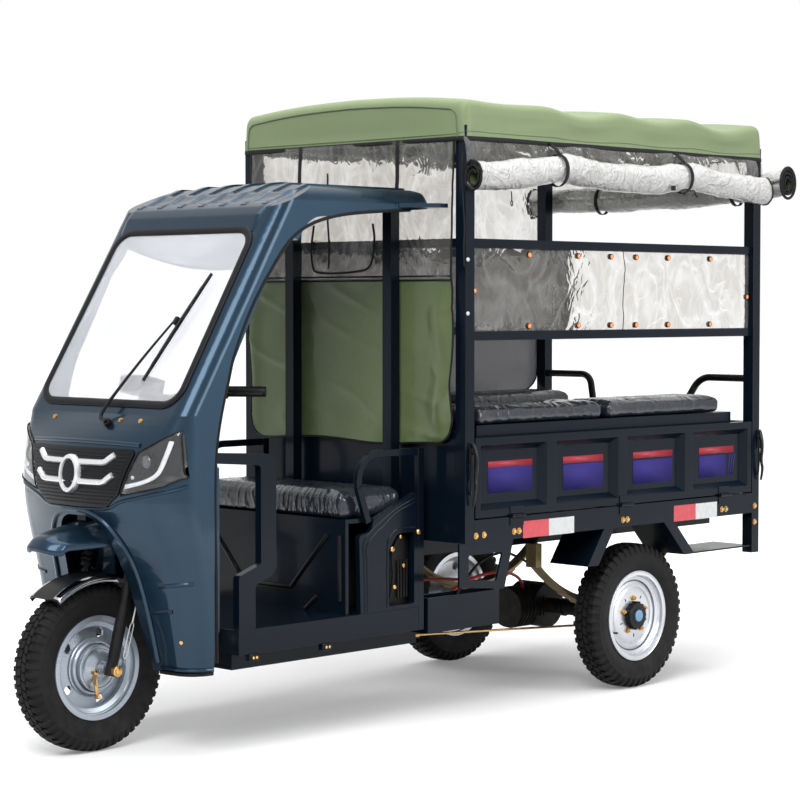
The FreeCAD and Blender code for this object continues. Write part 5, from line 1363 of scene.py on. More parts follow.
def left_roll():
    """The curtain rolled up at the left, the film it hangs from, and its ties."""
    centre_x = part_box("side_roll")[1].x - 0.046
    line = [(1.16, 1.862), (1.25, 1.864), (1.42, 1.878), (1.6, 1.9), (1.66, 1.903), (1.76, 1.893),
            (1.89, 1.884), (2.12, 1.884), (2.24, 1.893), (2.34, 1.903), (2.42, 1.9), (2.56, 1.885),
            (2.7, 1.874), (2.829, 1.866)]
    path = [at(centre_x, d, z) for d, z in smooth_run(line, 7)]
    last = len(path) - 1

    def nearest(d):
        return min(range(len(path)), key=lambda i: abs(path[i].y - back(d)))

    roll_sheet("rolled side curtain", "side_roll", True, path, (0.046, 0.058),
               [nearest(1.6) / last, nearest(2.31) / last],
               lambda centre: Vector((canopy_high.x + 0.002, centre.y, hem_z + 0.006)))

    def web(u, v):
        i = u * last
        k = min(int(i), last - 1)
        middle = path[k].lerp(path[k + 1], i - k)
        point = (middle + Vector((-0.03, 0, 0.04))).lerp(Vector((canopy_high.x - 0.004, middle.y, hem_z + 0.006)), v)
        point.x += (0.008 * sin(pi * v)
                    + fold_height(u * 2.2, v * 0.4, 31.0, 0.007) * sin(pi * (0.15 + 0.7 * v)))
        return point

    sheet, area, _ = grid_sheet("side roll film", web, 90, 8, [film])
    bm = bmesh.new()
    add_line(bm, [Vector(web(k / 60, 0.02)) for k in range(61)], 0.0034)
    add_brick(bm, path[nearest(2.19)] + Vector((0.047, 0, -0.03)), (0.003, 0.012, 0.009), 0.002, 2)
    knot = path[nearest(2.31)] + Vector((0.05, -0.02, -0.05))
    for shift, drop in ((-0.03, -0.006), (0.026, -0.012), (-0.05, 0.004)):
        add_tube(bm, [knot, knot + Vector((0.008, shift * 0.5, 0.006)), knot + Vector((0.002, shift, drop)),
                      knot + Vector((0.004, shift * 1.5, drop - 0.01))], 0.0024, rounds=2)
    piece(bm, "side roll ties", binding)


def rear_roll():
    """The curtain rolled up at the rear, the film it hangs from, and the rings at its ends."""
    centre_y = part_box("rear_roll")[1].y - 0.05
    line = [(0.647, 1.905), (0.56, 1.893), (0.42, 1.88), (0.3, 1.874), (0.12, 1.866), (0.0, 1.868),
            (-0.15, 1.864), (-0.3, 1.864), (-0.48, 1.866), (-0.647, 1.864)]
    path = [Vector((x, centre_y, z)) for x, z in smooth_run(line, 9)]
    roll_sheet("rolled rear curtain", "rear_roll", False, path, (0.047, 0.058), [0.24, 0.76],
               lambda centre: Vector((centre.x, canopy_high.y - 0.002, hem_z + 0.006)))

    def web(u, v):
        x = 0.55 - 1.1 * u
        near = min(path, key=lambda p: abs(p.x - x))
        point = Vector((x, near.y - 0.03, near.z + 0.04)).lerp(Vector((x, canopy_high.y - 0.005, hem_z + 0.006)), v)
        point.y += (0.006 * sin(pi * v)
                    + fold_height(u * 1.6, v * 0.4, 41.0, 0.006) * sin(pi * (0.15 + 0.7 * v)))
        return point

    sheet, area, _ = grid_sheet("rear roll film", web, 60, 8, [film])
    bm = bmesh.new()
    for end, x in ((path[0], 0.6485), (path[-1], -0.6485)):
        add_line(bm, [Vector((x, end.y, end.z)) + Vector((0, 0.048 * a, 0.06 * b)) for a, b in round_steps(32)],
                 0.0055, 3, closed=True)
    piece(bm, "rear roll rings", binding)


left_roll()
rear_roll()


def infill(side, suffix):
    """The clear film between the side rails, with its seams and snap studs."""
    low_box, high_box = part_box("infill_films")
    length, height = high_box.y - low_box.y, high_box.z - low_box.z

    def place(u, v):
        edge = min(1.0, min(u, 1 - u) * 30) * min(1.0, min(v, 1 - v) * 9)
        fold = fold_height(u * 3.4 - v * 0.9, v * 0.5, 51.0 + side, 0.0075)
        x = side * (high_box.x - 0.0015) + side * edge * (0.002 - fold)
        return (x, low_box.y + length * u, low_box.z + height * v)

    sheet, _, _ = grid_sheet("infill film " + suffix, place, 110, 22, [film])
    bm = bmesh.new()
    add_line(bm, edge_points(place, (back(2.05) - low_box.y) / length, 16), film_seam, 1)
    for v in (0.0, 1.0):
        add_line(bm, [Vector(place(k / 60, v)) for k in range(61)], film_seam, 1)
    seam = piece(bm, "infill seams " + suffix, binding)
    domes, washers = bmesh.new(), bmesh.new()
    out = left * side
    studs = [(d, z) for d in (1.524, 1.79, 1.977, 2.122, 2.314, 2.574) for z in (1.606, 1.357)]
    for d, z in studs + [(1.238, 1.479), (2.812, 1.462)]:
        v = min(0.97, max(0.03, (z - low_box.z) / height))
        x = Vector(place((back(d) - low_box.y) / length, v)).x
        seat = at(side * max(abs(x) + 0.002, 0.54), d, z)
        add_rod(washers, seat - out * 0.012, seat + out * 0.0015, 0.0105, 24)
        add_turned(domes, [(0.0, 0.0098), (0.003, 0.0094), (0.0058, 0.0068), (0.007, 0.0032), (0.0072, 0.0)],
                   seat, out, 24, closed=False)
    piece(domes, "film studs " + suffix, copper)
    piece(washers, "film stud washers " + suffix, binding)
    return sheet


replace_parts(infill(1, "left"), "infill_films")
infill(-1, "right")


# Box details: panel films, reflectors, bolts, latches, edge seams and the far parts below.

def plate_on_side(bm, side, x, d0, d1, z0, z1, depth, bevel=0.0006):
    """A thin plate on a side face, from distances and heights."""
    near, far = sorted((side * x, side * (x + depth)))
    add_block(bm, (near, back(d0), z0), (far, back(d1), z1), bevel, 1)


def panel_films(side, suffix):
    """Plain coloured films on the floors of a board's four pockets, the last one with three slanting lines."""
    tree = skin_of("side_board_" + suffix)
    panels = ((1.316, 1.547, 0.78, 0.868, 0.868, 0.89), (1.715, 1.94, 0.768, 0.86, 0.863, 0.888),
              (2.114, 2.35, 0.767, 0.855, 0.862, 0.886), (2.517, 2.736, 0.769, 0.852, 0.858, 0.884))
    lines_width, slant = 0.05, 0.018
    blue, red = bmesh.new(), bmesh.new()
    for panel in panels:
        d0, d1, z0, z1 = panel[:4]
        hit, _ = from_side(tree, side, (d0 + d1) / 2, (z0 + z1) / 2)
        x = side * (abs(hit.x) + 0.0006)
        for bm, low, high in ((blue, z0, z1), (red, *panel[4:])):
            lined = bm is blue and panel is panels[-1]
            end = d1 - (lines_width if lined else 0.0)
            quads = [(d0, end, 0.0)]
            if lined:
                quads += [(end + 0.008 + 0.015 * k, end + 0.015 + 0.015 * k, slant) for k in range(3)]
            for first, last, lean in quads:
                quad = [at(x, first, low), at(x, last, low), at(x, last + lean, high), at(x, first + lean, high)]
                bm.faces.new([bm.verts.new(v) for v in (quad if side > 0 else reversed(quad))])
    for bm, finish, name in ((blue, sticker_purple, "blue panels "), (red, sticker_red, "red panels ")):
        thicken(piece(bm, name + suffix, finish, body=suffix + "_side", outward=False), 0.0004, 1)


def reflectors(side, suffix):
    """Two red and white reflector strips a side."""
    red, white = bmesh.new(), bmesh.new()
    for d0, d1 in ((1.472, 1.749), (2.33, 2.6)):
        mid = (d0 + d1) / 2
        plate_on_side(red, side, box_face_x, d0, mid, 0.615, 0.675, 0.0012)
        plate_on_side(white, side, box_face_x, mid, d1, 0.615, 0.675, 0.0012)
    piece(red, "red reflectors " + suffix, reflector_red)
    piece(white, "white reflectors " + suffix, reflector_white)


def side_bolts(side, suffix):
    """Domed bolts on the hinges and the frame, and on the seat's feet."""
    out = left * side
    for name, nodes, least_x, places, dome in (
            ("side bolts ", ("bed", "box_frame"), 0.5,
             ((1.426, 0.643), (1.452, 0.643), (2.027, 0.643), (2.053, 0.643), (2.631, 0.643), (2.657, 0.643),
              (1.229, 0.641), (1.27, 0.642), (2.845, 0.644), (2.845, 0.581)),
             [(0.0, 0.0112), (0.002, 0.0112), (0.0022, 0.0085), (0.006, 0.008), (0.0085, 0.0055), (0.009, 0.0)]),
            ("foot bolts ", ("cab_posts", "bed", "armrests", "front_brackets"), 0.0,
             ((1.068, 0.66), (1.106, 0.654), (1.15, 0.5), (1.15, 0.47)),
             [(0.0, 0.01), (0.002, 0.01), (0.006, 0.007), (0.008, 0.0)])):
        tree = skin_of(*nodes)
        bm = bmesh.new()
        for d, z in places:
            hit, _ = from_side(tree, side, d, z)
            if hit is not None and abs(hit.x) >= least_x:
                add_turned(bm, dome, at(hit.x, d, z) - out * 0.0008, out, 20, closed=False)
        piece(bm, name + suffix, brass)


def latches(side, suffix):
    """Over-centre latches on the corner posts: a bracket, a curved lever and a hook rod."""
    bm = bmesh.new()
    for d, z0, z1, turn in ((1.204, 0.745, 0.972, 1), (2.868, 0.745, 0.952, -1)):
        def beside(lift, shift, drop):
            return at(side * (box_face_x + lift), d + shift, z1 - drop)

        plate_on_side(bm, side, box_face_x, d - 0.012, d + 0.012, z1 - 0.085, z1 - 0.01, 0.004, 0.001)
        add_tube(bm, [beside(0.008, 0, 0.015), beside(0.02, 0.004 * turn, 0.04), beside(0.023, 0.006 * turn, 0.09),
                      beside(0.016, 0.004 * turn, 0.13), beside(0.024, 0, 0.165),
                      beside(0.012, -0.002 * turn, z1 - z0)], 0.006, taper=[1.0, 1.2, 1.2, 1.0, 0.9, 0.7])
        add_tube(bm, [beside(0.004, -0.01, 0.03), beside(0.012, -0.012, 0.06), beside(0.012, -0.01, 0.15),
                      beside(0.004, -0.006, 0.19)], 0.0035, rounds=2)
        add_rod(bm, beside(0.002, 0, 0.045), beside(0.016, 0, 0.045), 0.007, 16, bevel=0.001)
    piece(bm, "latches " + suffix, plastic_black)


for side, suffix in sides:
    panel_films(side, suffix)
for side, suffix in sides:
    reflectors(side, suffix)
    side_bolts(side, suffix)
    latches(side, suffix)


def curtain_edges():
    """The black tape down the left front post, two pale snap studs and the zip's pull."""
    bm = bmesh.new()
    add_tube(bm, [at(0.56, 1.158, 1.945), at(0.563, 1.15, 1.88), at(0.562, 1.158, 1.78), at(0.563, 1.166, 1.69),
                  at(0.562, 1.16, 1.616), at(0.5615, 1.165, 1.56)], 0.0028, rounds=2)
    piece(bm, "curtain edge tape", binding)
    bm = bmesh.new()
    for z in (1.584, 1.401):
        add_turned(bm, [(0.0, 0.0075), (0.003, 0.007), (0.005, 0.0045), (0.0055, 0.0)],
                   at(box_face_x, 1.1865, z) - Vector((0.0005, 0, 0)), left, 20, closed=False)
    piece(bm, "pale studs", reflector_white)
    bm = bmesh.new()
    top = at(-0.556, 2.66, 1.905)
    add_tube(bm, [top, top + Vector((0.004, 0, -0.012)), top + Vector((0.004, 0.0, -0.04))], 0.0024, rounds=2)
    add_line(bm, [top + Vector((0.004, 0.006 * a, -0.05 + 0.011 * b)) for a, b in round_steps(16)], 0.0022, closed=True)
    piece(bm, "zip pull", plastic_black)


curtain_edges()


def below():
    """Brake rod, red cable, hoses, motor fins, axle collars, and the floor's brackets with their bolts."""
    bm = bmesh.new()
    add_rod(bm, at(0.3, 1.174, 0.28), at(0.3, 2.063, 0.225), 0.0042, 12)
    add_rod(bm, at(0.3, 1.15, 0.2815), at(0.3, 1.215, 0.2775), 0.0085, 12, bevel=0.001)
    add_rod(bm, at(0.294, 1.16, 0.281), at(0.306, 1.16, 0.281), 0.013, 16, bevel=0.001)
    piece(bm, "brake rod", brass)
    leads, hoses = bmesh.new(), bmesh.new()
    for bm, radius, run in (
            (leads, 0.006, ((0.27, 1.13, 0.3), (0.285, 1.22, 0.29), (0.24, 1.35, 0.33), (0.2, 1.52, 0.42),
                             (0.17, 1.76, 0.45), (0.1, 1.99, 0.4), (0.04, 2.06, 0.345))),
            (leads, 0.006, ((-0.2, 1.13, 0.3), (-0.14, 1.32, 0.35), (-0.06, 1.66, 0.43), (-0.02, 2.02, 0.352))),
            (hoses, 0.0048, ((0.33, 1.12, 0.33), (0.36, 1.19, 0.3), (0.35, 1.29, 0.33), (0.33, 1.4, 0.43),
                             (0.28, 1.56, 0.52), (0.24, 1.8, 0.53), (0.2, 2.08, 0.36))),
            (hoses, 0.0042, ((0.36, 1.13, 0.345), (0.375, 1.24, 0.32), (0.36, 1.33, 0.365), (0.3, 1.46, 0.5)))):
        add_tube(bm, [at(*place) for place in run], radius)
    piece(leads, "clipped leads", cable_red)
    motor_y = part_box("rear_axle")[0].y
    for k in range(7):
        add_turned(hoses, [(-0.002, 0.072), (-0.002, 0.0805), (0.002, 0.0805), (0.002, 0.072)],
                   Vector((0, motor_y + 0.02 + 0.02 * k, tyre_radius)), (0, 1, 0), 48)
    for x in (-0.3, -0.15, 0.15, 0.3):
        add_turned(hoses, [(-0.006, 0.026), (-0.006, 0.0345), (0.006, 0.0345), (0.006, 0.026)],
                   Vector((x, rear_axle_y, tyre_radius)), left, 32)
    piece(hoses, "hoses and ribs", cast_black)
    brackets, bolts = bmesh.new(), bmesh.new()
    for side in (1, -1):
        for d in (0.343, 0.665):
            add_brick(brackets, at(side * 0.402, d, 0.3045), (0.01, 0.022, 0.0115), 0.0015, 2)
        for d in (0.336, 0.35, 0.658, 0.672):
            add_rod(bolts, at(side * 0.408, d, 0.3045), at(side * 0.417, d, 0.3045), 0.0052, 6, bevel=0.0008)
    piece(brackets, "floor brackets", frame_paint)
    piece(bolts, "floor bracket bolts", brass)


below()


# Driver area: seat panel lines, seat box bars and bolts, and what shows inside the seat box.

seat_tree = skin_of("seat_box", "armrests")


def seat_panel_line(bm, side, corners, steps, sunk, radius):
    """A pressed line in the seat's side panel."""
    points = []
    for d, z in smooth_run(corners, steps):
        hit, _ = from_side(seat_tree, side, d, z)
        if hit is not None and abs(hit.x) > 0.39:
            points.append(Vector((hit.x - side * sunk, hit.y, hit.z)))
    if len(points) > 4:
        add_line(bm, points, radius)


def driver_area():
    """The seat's side panels, the bars on its front, and the bolts and parts at its openings."""
    bm = bmesh.new()
    for side in (1, -1):
        for inset in (0.018, 0.032):
            seat_panel_line(bm, side, [(0.828 + inset, 0.4), (0.824 + inset, 0.56), (0.822 + inset, 0.655 - inset),
                                       (0.872 + inset, 0.7 - inset), (0.9 + inset, 0.716 - inset),
                                       (1.0, 0.757 - inset * 0.9), (1.095, 0.79 - inset)], 4, 0.0012, 0.0032)
        seat_panel_line(bm, side, [(0.952, 0.372), (0.952, 0.6), (0.972, 0.652), (1.01, 0.672), (1.092, 0.672)],
                        5, 0.001, 0.0036)
    piece(bm, "seat panel ridges", frame_paint)
    bm = bmesh.new()
    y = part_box("seat_box")[0].y - 0.001
    for x0, z0, x1, z1 in ((0.3, 0.66, 0.12, 0.47), (0.12, 0.47, 0.04, 0.47), (0.36, 0.66, 0.36, 0.44),
                           (-0.3, 0.66, -0.12, 0.47), (-0.36, 0.66, -0.36, 0.44),
                           (0.25, 0.45, 0.19, 0.4), (-0.12, 0.47, 0.12, 0.47)):
        add_rod(bm, (x0, y, z0), (x1, y, z1), 0.0075, 16, bevel=0.002)
    piece(bm, "seat box bars", black_paint)
    bolts, inside = bmesh.new(), bmesh.new()
    for side in (1, -1):
        for d, z, radius in ((1.0, 0.6, 0.01), (1.01, 0.47, 0.008), (1.055, 0.54, 0.008), (1.04, 0.64, 0.007)):
            add_rod(bolts, at(side * 0.372, d, z), at(side * 0.385, d, z), radius, 6, bevel=0.001)
        add_brick(inside, at(side * 0.34, 1.0325, 0.52), (0.03, 0.0575, 0.12), 0.004, 2)
        add_tube(inside, [at(side * 0.38, 0.985, 0.42), at(side * 0.384, 1.01, 0.5), at(side * 0.38, 0.99, 0.59),
                          at(side * 0.378, 1.03, 0.63)], 0.005, rounds=2)
        for k in range(4):
            add_brick(inside, at(side * 0.376, 1.0335 + 0.014 * k, 0.495), (0.003, 0.0035, 0.065), 0.001, 1)
    piece(bolts, "seat box bolts", brass)
    piece(inside, "inside the seat box", cast_black)


driver_area()


def bar_details():
    """Ribs on the grips, hand levers and the switch blocks' rims."""
    ribs, levers = bmesh.new(), bmesh.new()
    for side in (1, -1):
        end = at(side * 0.31, 0.4816, 1.149)
        run = Vector((side * 0.7809, 0.6247, 0.0))
        ahead = Vector((side * 0.6247, -0.7809, 0.0))
        for k in range(22):
            add_turned(ribs, [(-0.0014, 0.016), (-0.001, 0.018), (0.001, 0.018), (0.0014, 0.016)],
                       end - run * (0.118 - 0.0052 * k), run, 28)
        add_turned(ribs, [(-0.128, 0.016), (-0.128, 0.024), (-0.122, 0.024), (-0.122, 0.016)], end, run, 28)
        pivot = end - run * 0.15 + ahead * 0.03 - Vector((0, 0, 0.006))
        add_tube(levers, [pivot + run * a + ahead * b for a, b in
                          ((-0.02, 0.0), (0.0, 0.016), (0.04, 0.03), (0.1, 0.026), (0.15, 0.02))],
                 0.0052, taper=[1.2, 1.2, 1.0, 0.9, 1.3])
        add_rod(levers, pivot - up * 0.012, pivot + up * 0.012, 0.0095, 20, bevel=0.001)
        add_rod(levers, pivot - ahead * 0.026, pivot + ahead * 0.004, 0.0075, 16)
    piece(ribs, "grip ribs", rubber, "steering")
    piece(levers, "hand levers", cast_black, "steering")


bar_details()


# Windscreen with its rubber, the grille's bright bars, and the beak.

def screen_outline(grow):
    """(x, up) round the windscreen's opening grown by grow, with the same count of points for any grow."""
    low, high = 0.046 - grow, 0.7092 - 0.03 + grow
    wide, narrow, r = 0.338 + grow, 0.33 + grow, 0.058 + grow
    points = []
    for cx, cy, start in ((wide - r, low + r, -90), (narrow - r, high - r, 0), (-narrow + r, high - r, 90),
                          (-wide + r, low + r, 180)):
        for k in range(13):
            a = radians(start + 90 * k / 12)
            points.append((cx + r * cos(a), cy + r * sin(a)))
    dense = []
    for i, (x, v) in enumerate(points):
        nx, nv = points[(i + 1) % len(points)]
        steps = 12 if i % 13 == 12 else 1
        dense += [(x + (nx - x) * k / steps, v + (nv - v) * k / steps) for k in range(steps)]
    return dense


def frame_rise(x, v):
    """How far the cab's skin stands over the windscreen's plane."""
    base = on_screen(x, v)
    hit = cab_tree.ray_cast(base + screen_out * 0.08, -screen_out, 0.14)[0]
    return max(0.0, (hit - base).dot(screen_out)) if hit is not None else 0.0


def screen_pieces():
    """The windscreen's rubber, lying over the cab's skin outside and on the glass inside, and the pane."""
    profile = ((0.024, 0.0), (0.0236, 0.0035), (0.02, 0.0062), (0.012, 0.0072), (0.003, 0.0062),
               (-0.003, 0.0035), (-0.005, 0.0))
    count = len(screen_outline(0.0))
    bm = bmesh.new()
    rows = []
    for grow, lift in profile:
        outline = screen_outline(grow)
        rises = [frame_rise(x, v) for x, v in outline]
        share = 0.0 if grow < 0 else 0.6 if grow < 0.01 else 1.0
        soft = [sum(rises[(i + k) % count] for k in range(-2, 3)) / 5 * share for i in range(count)]
        rows.append([bm.verts.new(on_screen(x, v, rise + lift)) for (x, v), rise in zip(outline, soft)])
    add_skin(bm, rows, around=True)
    seal = piece(bm, "windscreen rubber", rubber, sharp=radians(60), outward=False)
    thicken(seal, 0.003)
    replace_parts(seal, "windscreen_seal")
    bm = bmesh.new()
    faces = [[bm.verts.new(on_screen(x, v, out)) for x, v in screen_outline(-0.002)] for out in (0.0025, -0.0025)]
    bm.faces.new(faces[0])
    bm.faces.new(list(reversed(faces[1])))
    for i in range(count):
        j = (i + 1) % count
        bm.faces.new((faces[0][i], faces[1][i], faces[1][j], faces[0][j]))
    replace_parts(piece(bm, "windscreen pane", glass), "windscreen")


screen_pieces()


def grille_bright():
    """Two bars with turned-up ends and an oval ring round a plain dark disc."""
    bm = bmesh.new()
    section = ((-0.0098, -0.002), (-0.0098, 0.006), (-0.006, 0.0115), (0.0, 0.0128), (0.006, 0.0115),
               (0.0098, 0.006), (0.0098, -0.002))
    for z in (0.872, 0.934):
        half = [(0.186, z + 0.026), (0.168, z + 0.014), (0.148, z + 0.002), (0.11, z)]
        dense = smooth_run([(-x, height) for x, height in half] + [(0.0, z)] + list(reversed(half)), 5)
        met = [on_front(grille_tree, x, height) for x, height in dense]
        rows = []
        for i, (place, normal) in enumerate(met):
            run = (met[min(i + 1, len(met) - 1)][0] - met[max(i - 1, 0)][0]).normalized()
            across = run.cross(normal).normalized()
            rows.append([bm.verts.new(place + across * a + normal * b) for a, b in section])
        add_skin(bm, rows)
        bm.faces.new(rows[0])
        bm.faces.new(list(reversed(rows[-1])))
    centre, normal = on_front(grille_tree, 0.0, 0.895)
    rising = (up - normal * normal.z).normalized()
    across = rising.cross(normal)
    oval = [across * (0.047 * a) + rising * (0.062 * b) for a, b in round_steps(56)]
    add_skin(bm, [[bm.verts.new(centre + reach * share + normal * out) for share, out in
                   ((1.0, -0.002), (1.0, 0.012), (0.95, 0.018), (0.86, 0.0195), (0.78, 0.018), (0.74, 0.012),
                    (0.74, -0.002))] for reach in oval], close=True)
    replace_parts(piece(bm, "grille bars", silver, sharp=radians(40)), "grille_trim")
    bm = bmesh.new()
    rim = [bm.verts.new(centre + reach * 0.8 + normal * 0.011) for reach in oval]
    tip = bm.verts.new(centre + normal * 0.013)
    for a, b in zip(rim, rim[1:] + rim[:1]):
        bm.faces.new((a, b, tip))
    piece(bm, "plain oval", plastic_black, outward=False)


grille_bright()


def beak():
    """The fixed beak over the front wheel: a crowned sheet with a stepped rim and a turned-down tip."""
    low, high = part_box("fender_beak")
    across, ahead = 28, 22

    def place(u, v):
        half = high.x + (0.084 - high.x) * v
        front = low.y + 0.045 * abs(u) ** 3.2
        edge = 0.686 - 0.006 * v
        crest = 0.744 - 0.044 * v ** 1.4
        step = 0.007 * (1.0 / (1.0 + exp((abs(u) - 0.6 + 0.1 * v) * 26))) * (1 - v) ** 0.25
        z = edge + (crest - 0.007 - edge) * (1 - u * u) + step - 0.016 * (max(0.0, v - 0.86) / 0.14) ** 2
        return Vector((half * u * (1 - 0.02 * v * v), high.y + (front - high.y) * v, z))

    bm = bmesh.new()
    rows = [[bm.verts.new(place(-1 + 2 * i / across, j / ahead)) for i in range(across + 1)] for j in range(ahead + 1)]
    add_skin(bm, rows)
    rim = [row[0] for row in rows] + rows[-1][1:-1] + [row[-1] for row in reversed(rows)]
    rings = [rim]
    for drop, spread in ((0.004, 0.0035), (0.012, 0.0045), (0.02, 0.003), (0.0225, 0.0)):
        ring = []
        for v in rim:
            out = Vector((v.co.x, min(0.0, v.co.y - high.y), 0))
            out = out.normalized() if out.length > 0.001 else Vector((0, -1, 0))
            ring.append(bm.verts.new(v.co + out * spread - Vector((0, 0, drop))))
        rings.append(ring)
    add_skin(bm, rings)
    obj = piece(bm, "beak", cab_paint, sharp=radians(50))
    thicken(obj, 0.004)
    soften(obj)
    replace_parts(obj, "fender_beak")


beak()


# Cushions: stuffed pads in a clear wrapping.

def finished_mesh(obj):
    """The mesh of an object with its modifiers applied; the object is removed."""
    mesh = bpy.data.meshes.new_from_object(obj.evaluated_get(bpy.context.evaluated_depsgraph_get()))
    bpy.data.objects.remove(obj)
    return mesh


def scratch_object(name, mesh):
    """An object that only serves to work out a mesh."""
    obj = bpy.data.objects.new(name, mesh)
    scene.collection.objects.link(obj)
    return obj


def pad_mesh(size, swell, voxel, reach):
    """A stuffed pad about the origin, its foot flat: remeshed and blown up a little."""
    x, y, z = size
    inset = 0.006
    bm = bmesh.new()
    add_block(bm, (-x / 2 + inset, -y / 2 + inset, 0.0), (x / 2 - inset, y / 2 - inset, z - swell),
              min(0.02, z * 0.3), 4)
    mesh = bpy.data.meshes.new("pad")
    bm.to_mesh(mesh)
    bm.free()
    obj = scratch_object("pad", mesh)
    remesh = obj.modifiers.new("remesh", "REMESH")
    remesh.mode = "VOXEL"
    remesh.voxel_size = voxel
    shape = finished_mesh(obj)
    start = [v.co.copy() for v in shape.vertices]
    obj = scratch_object("pad", shape)
    cloth = obj.modifiers.new("cloth", "CLOTH")
    cloth.settings.use_pressure = True
    cloth.settings.uniform_pressure_force = 4
    cloth.settings.effector_weights.gravity = 0
    for step in range(1, 21):
        scene.frame_set(step)
    blown = finished_mesh(obj)
    scene.frame_set(1)
    moved = [v.co.copy() for v in blown.vertices]
    for vertex, a, b in zip(blown.vertices, start, moved):
        shift = b - a
        if shift.length > reach:
            shift = shift.normalized() * reach
        point = a + shift
        point.z = max(0.0, point.z)
        vertex.co = point
    return blown


def wrapped_pad(name, mesh, place, turn, seed):
    """A pad in place, with the fine wrinkles of the clear film it is wrapped in."""
    bm = bmesh.new()
    bm.from_mesh(mesh)
    bmesh.ops.subdivide_edges(bm, edges=bm.edges[:], cuts=1, use_grid_fill=True, smooth=0.0)
    bm.normal_update()
    for vertex in bm.verts:
        co = vertex.co
        warp = noise.noise_vector(Vector((co.x * 6, co.y * 6, seed)))
        broad = noise.noise(Vector((co.x * 34 + warp.x * 2.2, co.y * 13 + warp.y * 2.2, co.z * 12 + seed)))
        fine = noise.noise(Vector((co.x * 60 + warp.y * 3, co.y * 30, co.z * 26 + seed)))
        lift = 0.0019 * (1 - min(1.0, abs(broad) * 3.2)) ** 2 + 0.0009 * (1 - min(1.0, abs(fine) * 3.5)) ** 2
        if co.z > 0.004:
            vertex.co = co + vertex.normal * lift
    bmesh.ops.transform(bm, matrix=Matrix.Translation(place) @ turn.to_4x4(), verts=bm.verts[:])
    obj = piece(bm, name, seat_vinyl, sharp=radians(180))
    return obj


def cushions():
    """The driver's cushion, and two lengths of cushion on each bench."""
    lift = 0.0005
    low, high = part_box("driver_cushion")
    mesh = pad_mesh((high.x - low.x - 0.002, high.y - low.y - 0.004, high.z - low.z - 0.004), 0.012, 0.0075, 0.014)
    middle = Vector((0, (low.y + high.y) / 2, low.z + lift))
    seat = wrapped_pad("driver seat pad", mesh, middle, Matrix.Identity(3), 3.0)
    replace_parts(seat, "driver_cushion")
    low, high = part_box("bench_cushions")
    inner = 0.256
    width = high.x - inner
    mesh = pad_mesh((width, (high.y - low.y) / 2 - 0.004, high.z - low.z), 0.008, 0.0085, 0.012)
    made = []
    for side, suffix in sides:
        turn = Matrix.Identity(3) if side > 0 else Matrix.Rotation(pi, 3, "Z")
        for k, end in enumerate(("front", "rear")):
            y = low.y + (high.y - low.y) * (0.25 + 0.5 * k)
            made.append(wrapped_pad("bench cushion %s %s" % (suffix, end), mesh,
                                    Vector((side * (inner + width / 2), y, low.z + lift)), turn, 10.0 + 5 * k + side))
    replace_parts(made[0], "bench_cushions")


cushions()


# The roof's front: a soft blend from the panel over the windscreen, with the ribs fading in.

def eased(t):
    """0 below 0, 1 above 1, and smooth between."""
    t = min(1.0, max(0.0, t))
    return t * t * (3 - 2 * t)


def roof_blend():
    """The brow: the roof's own curve, made soft along its length, with seven ribs that begin behind it."""
    hub = at(0, 0.64, 1.5)
    half, across, far, sunk = 0.356, 132, 0.9, 0.0022
    spokes = []
    for j in range(57):
        angle = radians(151 - 56 * j / 56)
        spokes.append(Vector((0, -cos(pi - angle), sin(angle))))

    def reach(x, out):
        distance = cab_roof_tree.ray_cast(Vector((x, hub.y, hub.z)) + out * far, -out, far)[3]
        return None if distance is None else far - distance

    fits = []
    for out in spokes:
        found = [(x * x, reach(side * x, out)) for x in (0.053, 0.16, 0.266, 0.345) for side in (-1, 1)]
        found = [pair for pair in found if pair[1] is not None]
        fits.append(np.polyfit([a for a, _ in found], [b for _, b in found], 2))
    bm = bmesh.new()
    rows = []
    for i in range(across + 1):
        x = -half + 2 * half * i / across
        base = [float(np.polyval(fit, x * x)) for fit in fits]
        real = min(1.0, max(0.0, (abs(x) - 0.332) / 0.008))
        if real > 0:
            for j, out in enumerate(spokes):
                met = reach(x, out)
                if met is not None:
                    base[j] += (met - base[j]) * real
        ribs = sum(0.0058 * eased((0.0165 - abs(x - share * 0.38)) / 0.0055)
                   for share in (-0.84, -0.56, -0.28, 0.0, 0.28, 0.56, 0.84))
        row = []
        for j, out in enumerate(spokes):
            near = range(max(0, j - 7), min(len(base), j + 8))
            weights = [exp(-((k - j) / 4.0) ** 2) for k in near]
            soft = sum(base[k] * w for k, w in zip(near, weights)) / sum(weights)
            high = max(base[k] - 0.00055 * abs(k - j) for k in near)
            t = j / (len(spokes) - 1)
            fade = eased(min(t / 0.16, (1 - t) / 0.1)) * eased((half - abs(x)) / 0.03)
            radius = base[j] + (max(soft, high) - base[j] + sunk) * fade - sunk * (1 - fade)
            row.append(bm.verts.new(Vector((x, hub.y, hub.z)) + out * (radius + ribs * eased((t - 0.44) / 0.22))))
        rows.append(row)
    add_skin(bm, rows)
    piece(bm, "roof brow", cab_paint, outward=False)


roof_blend()


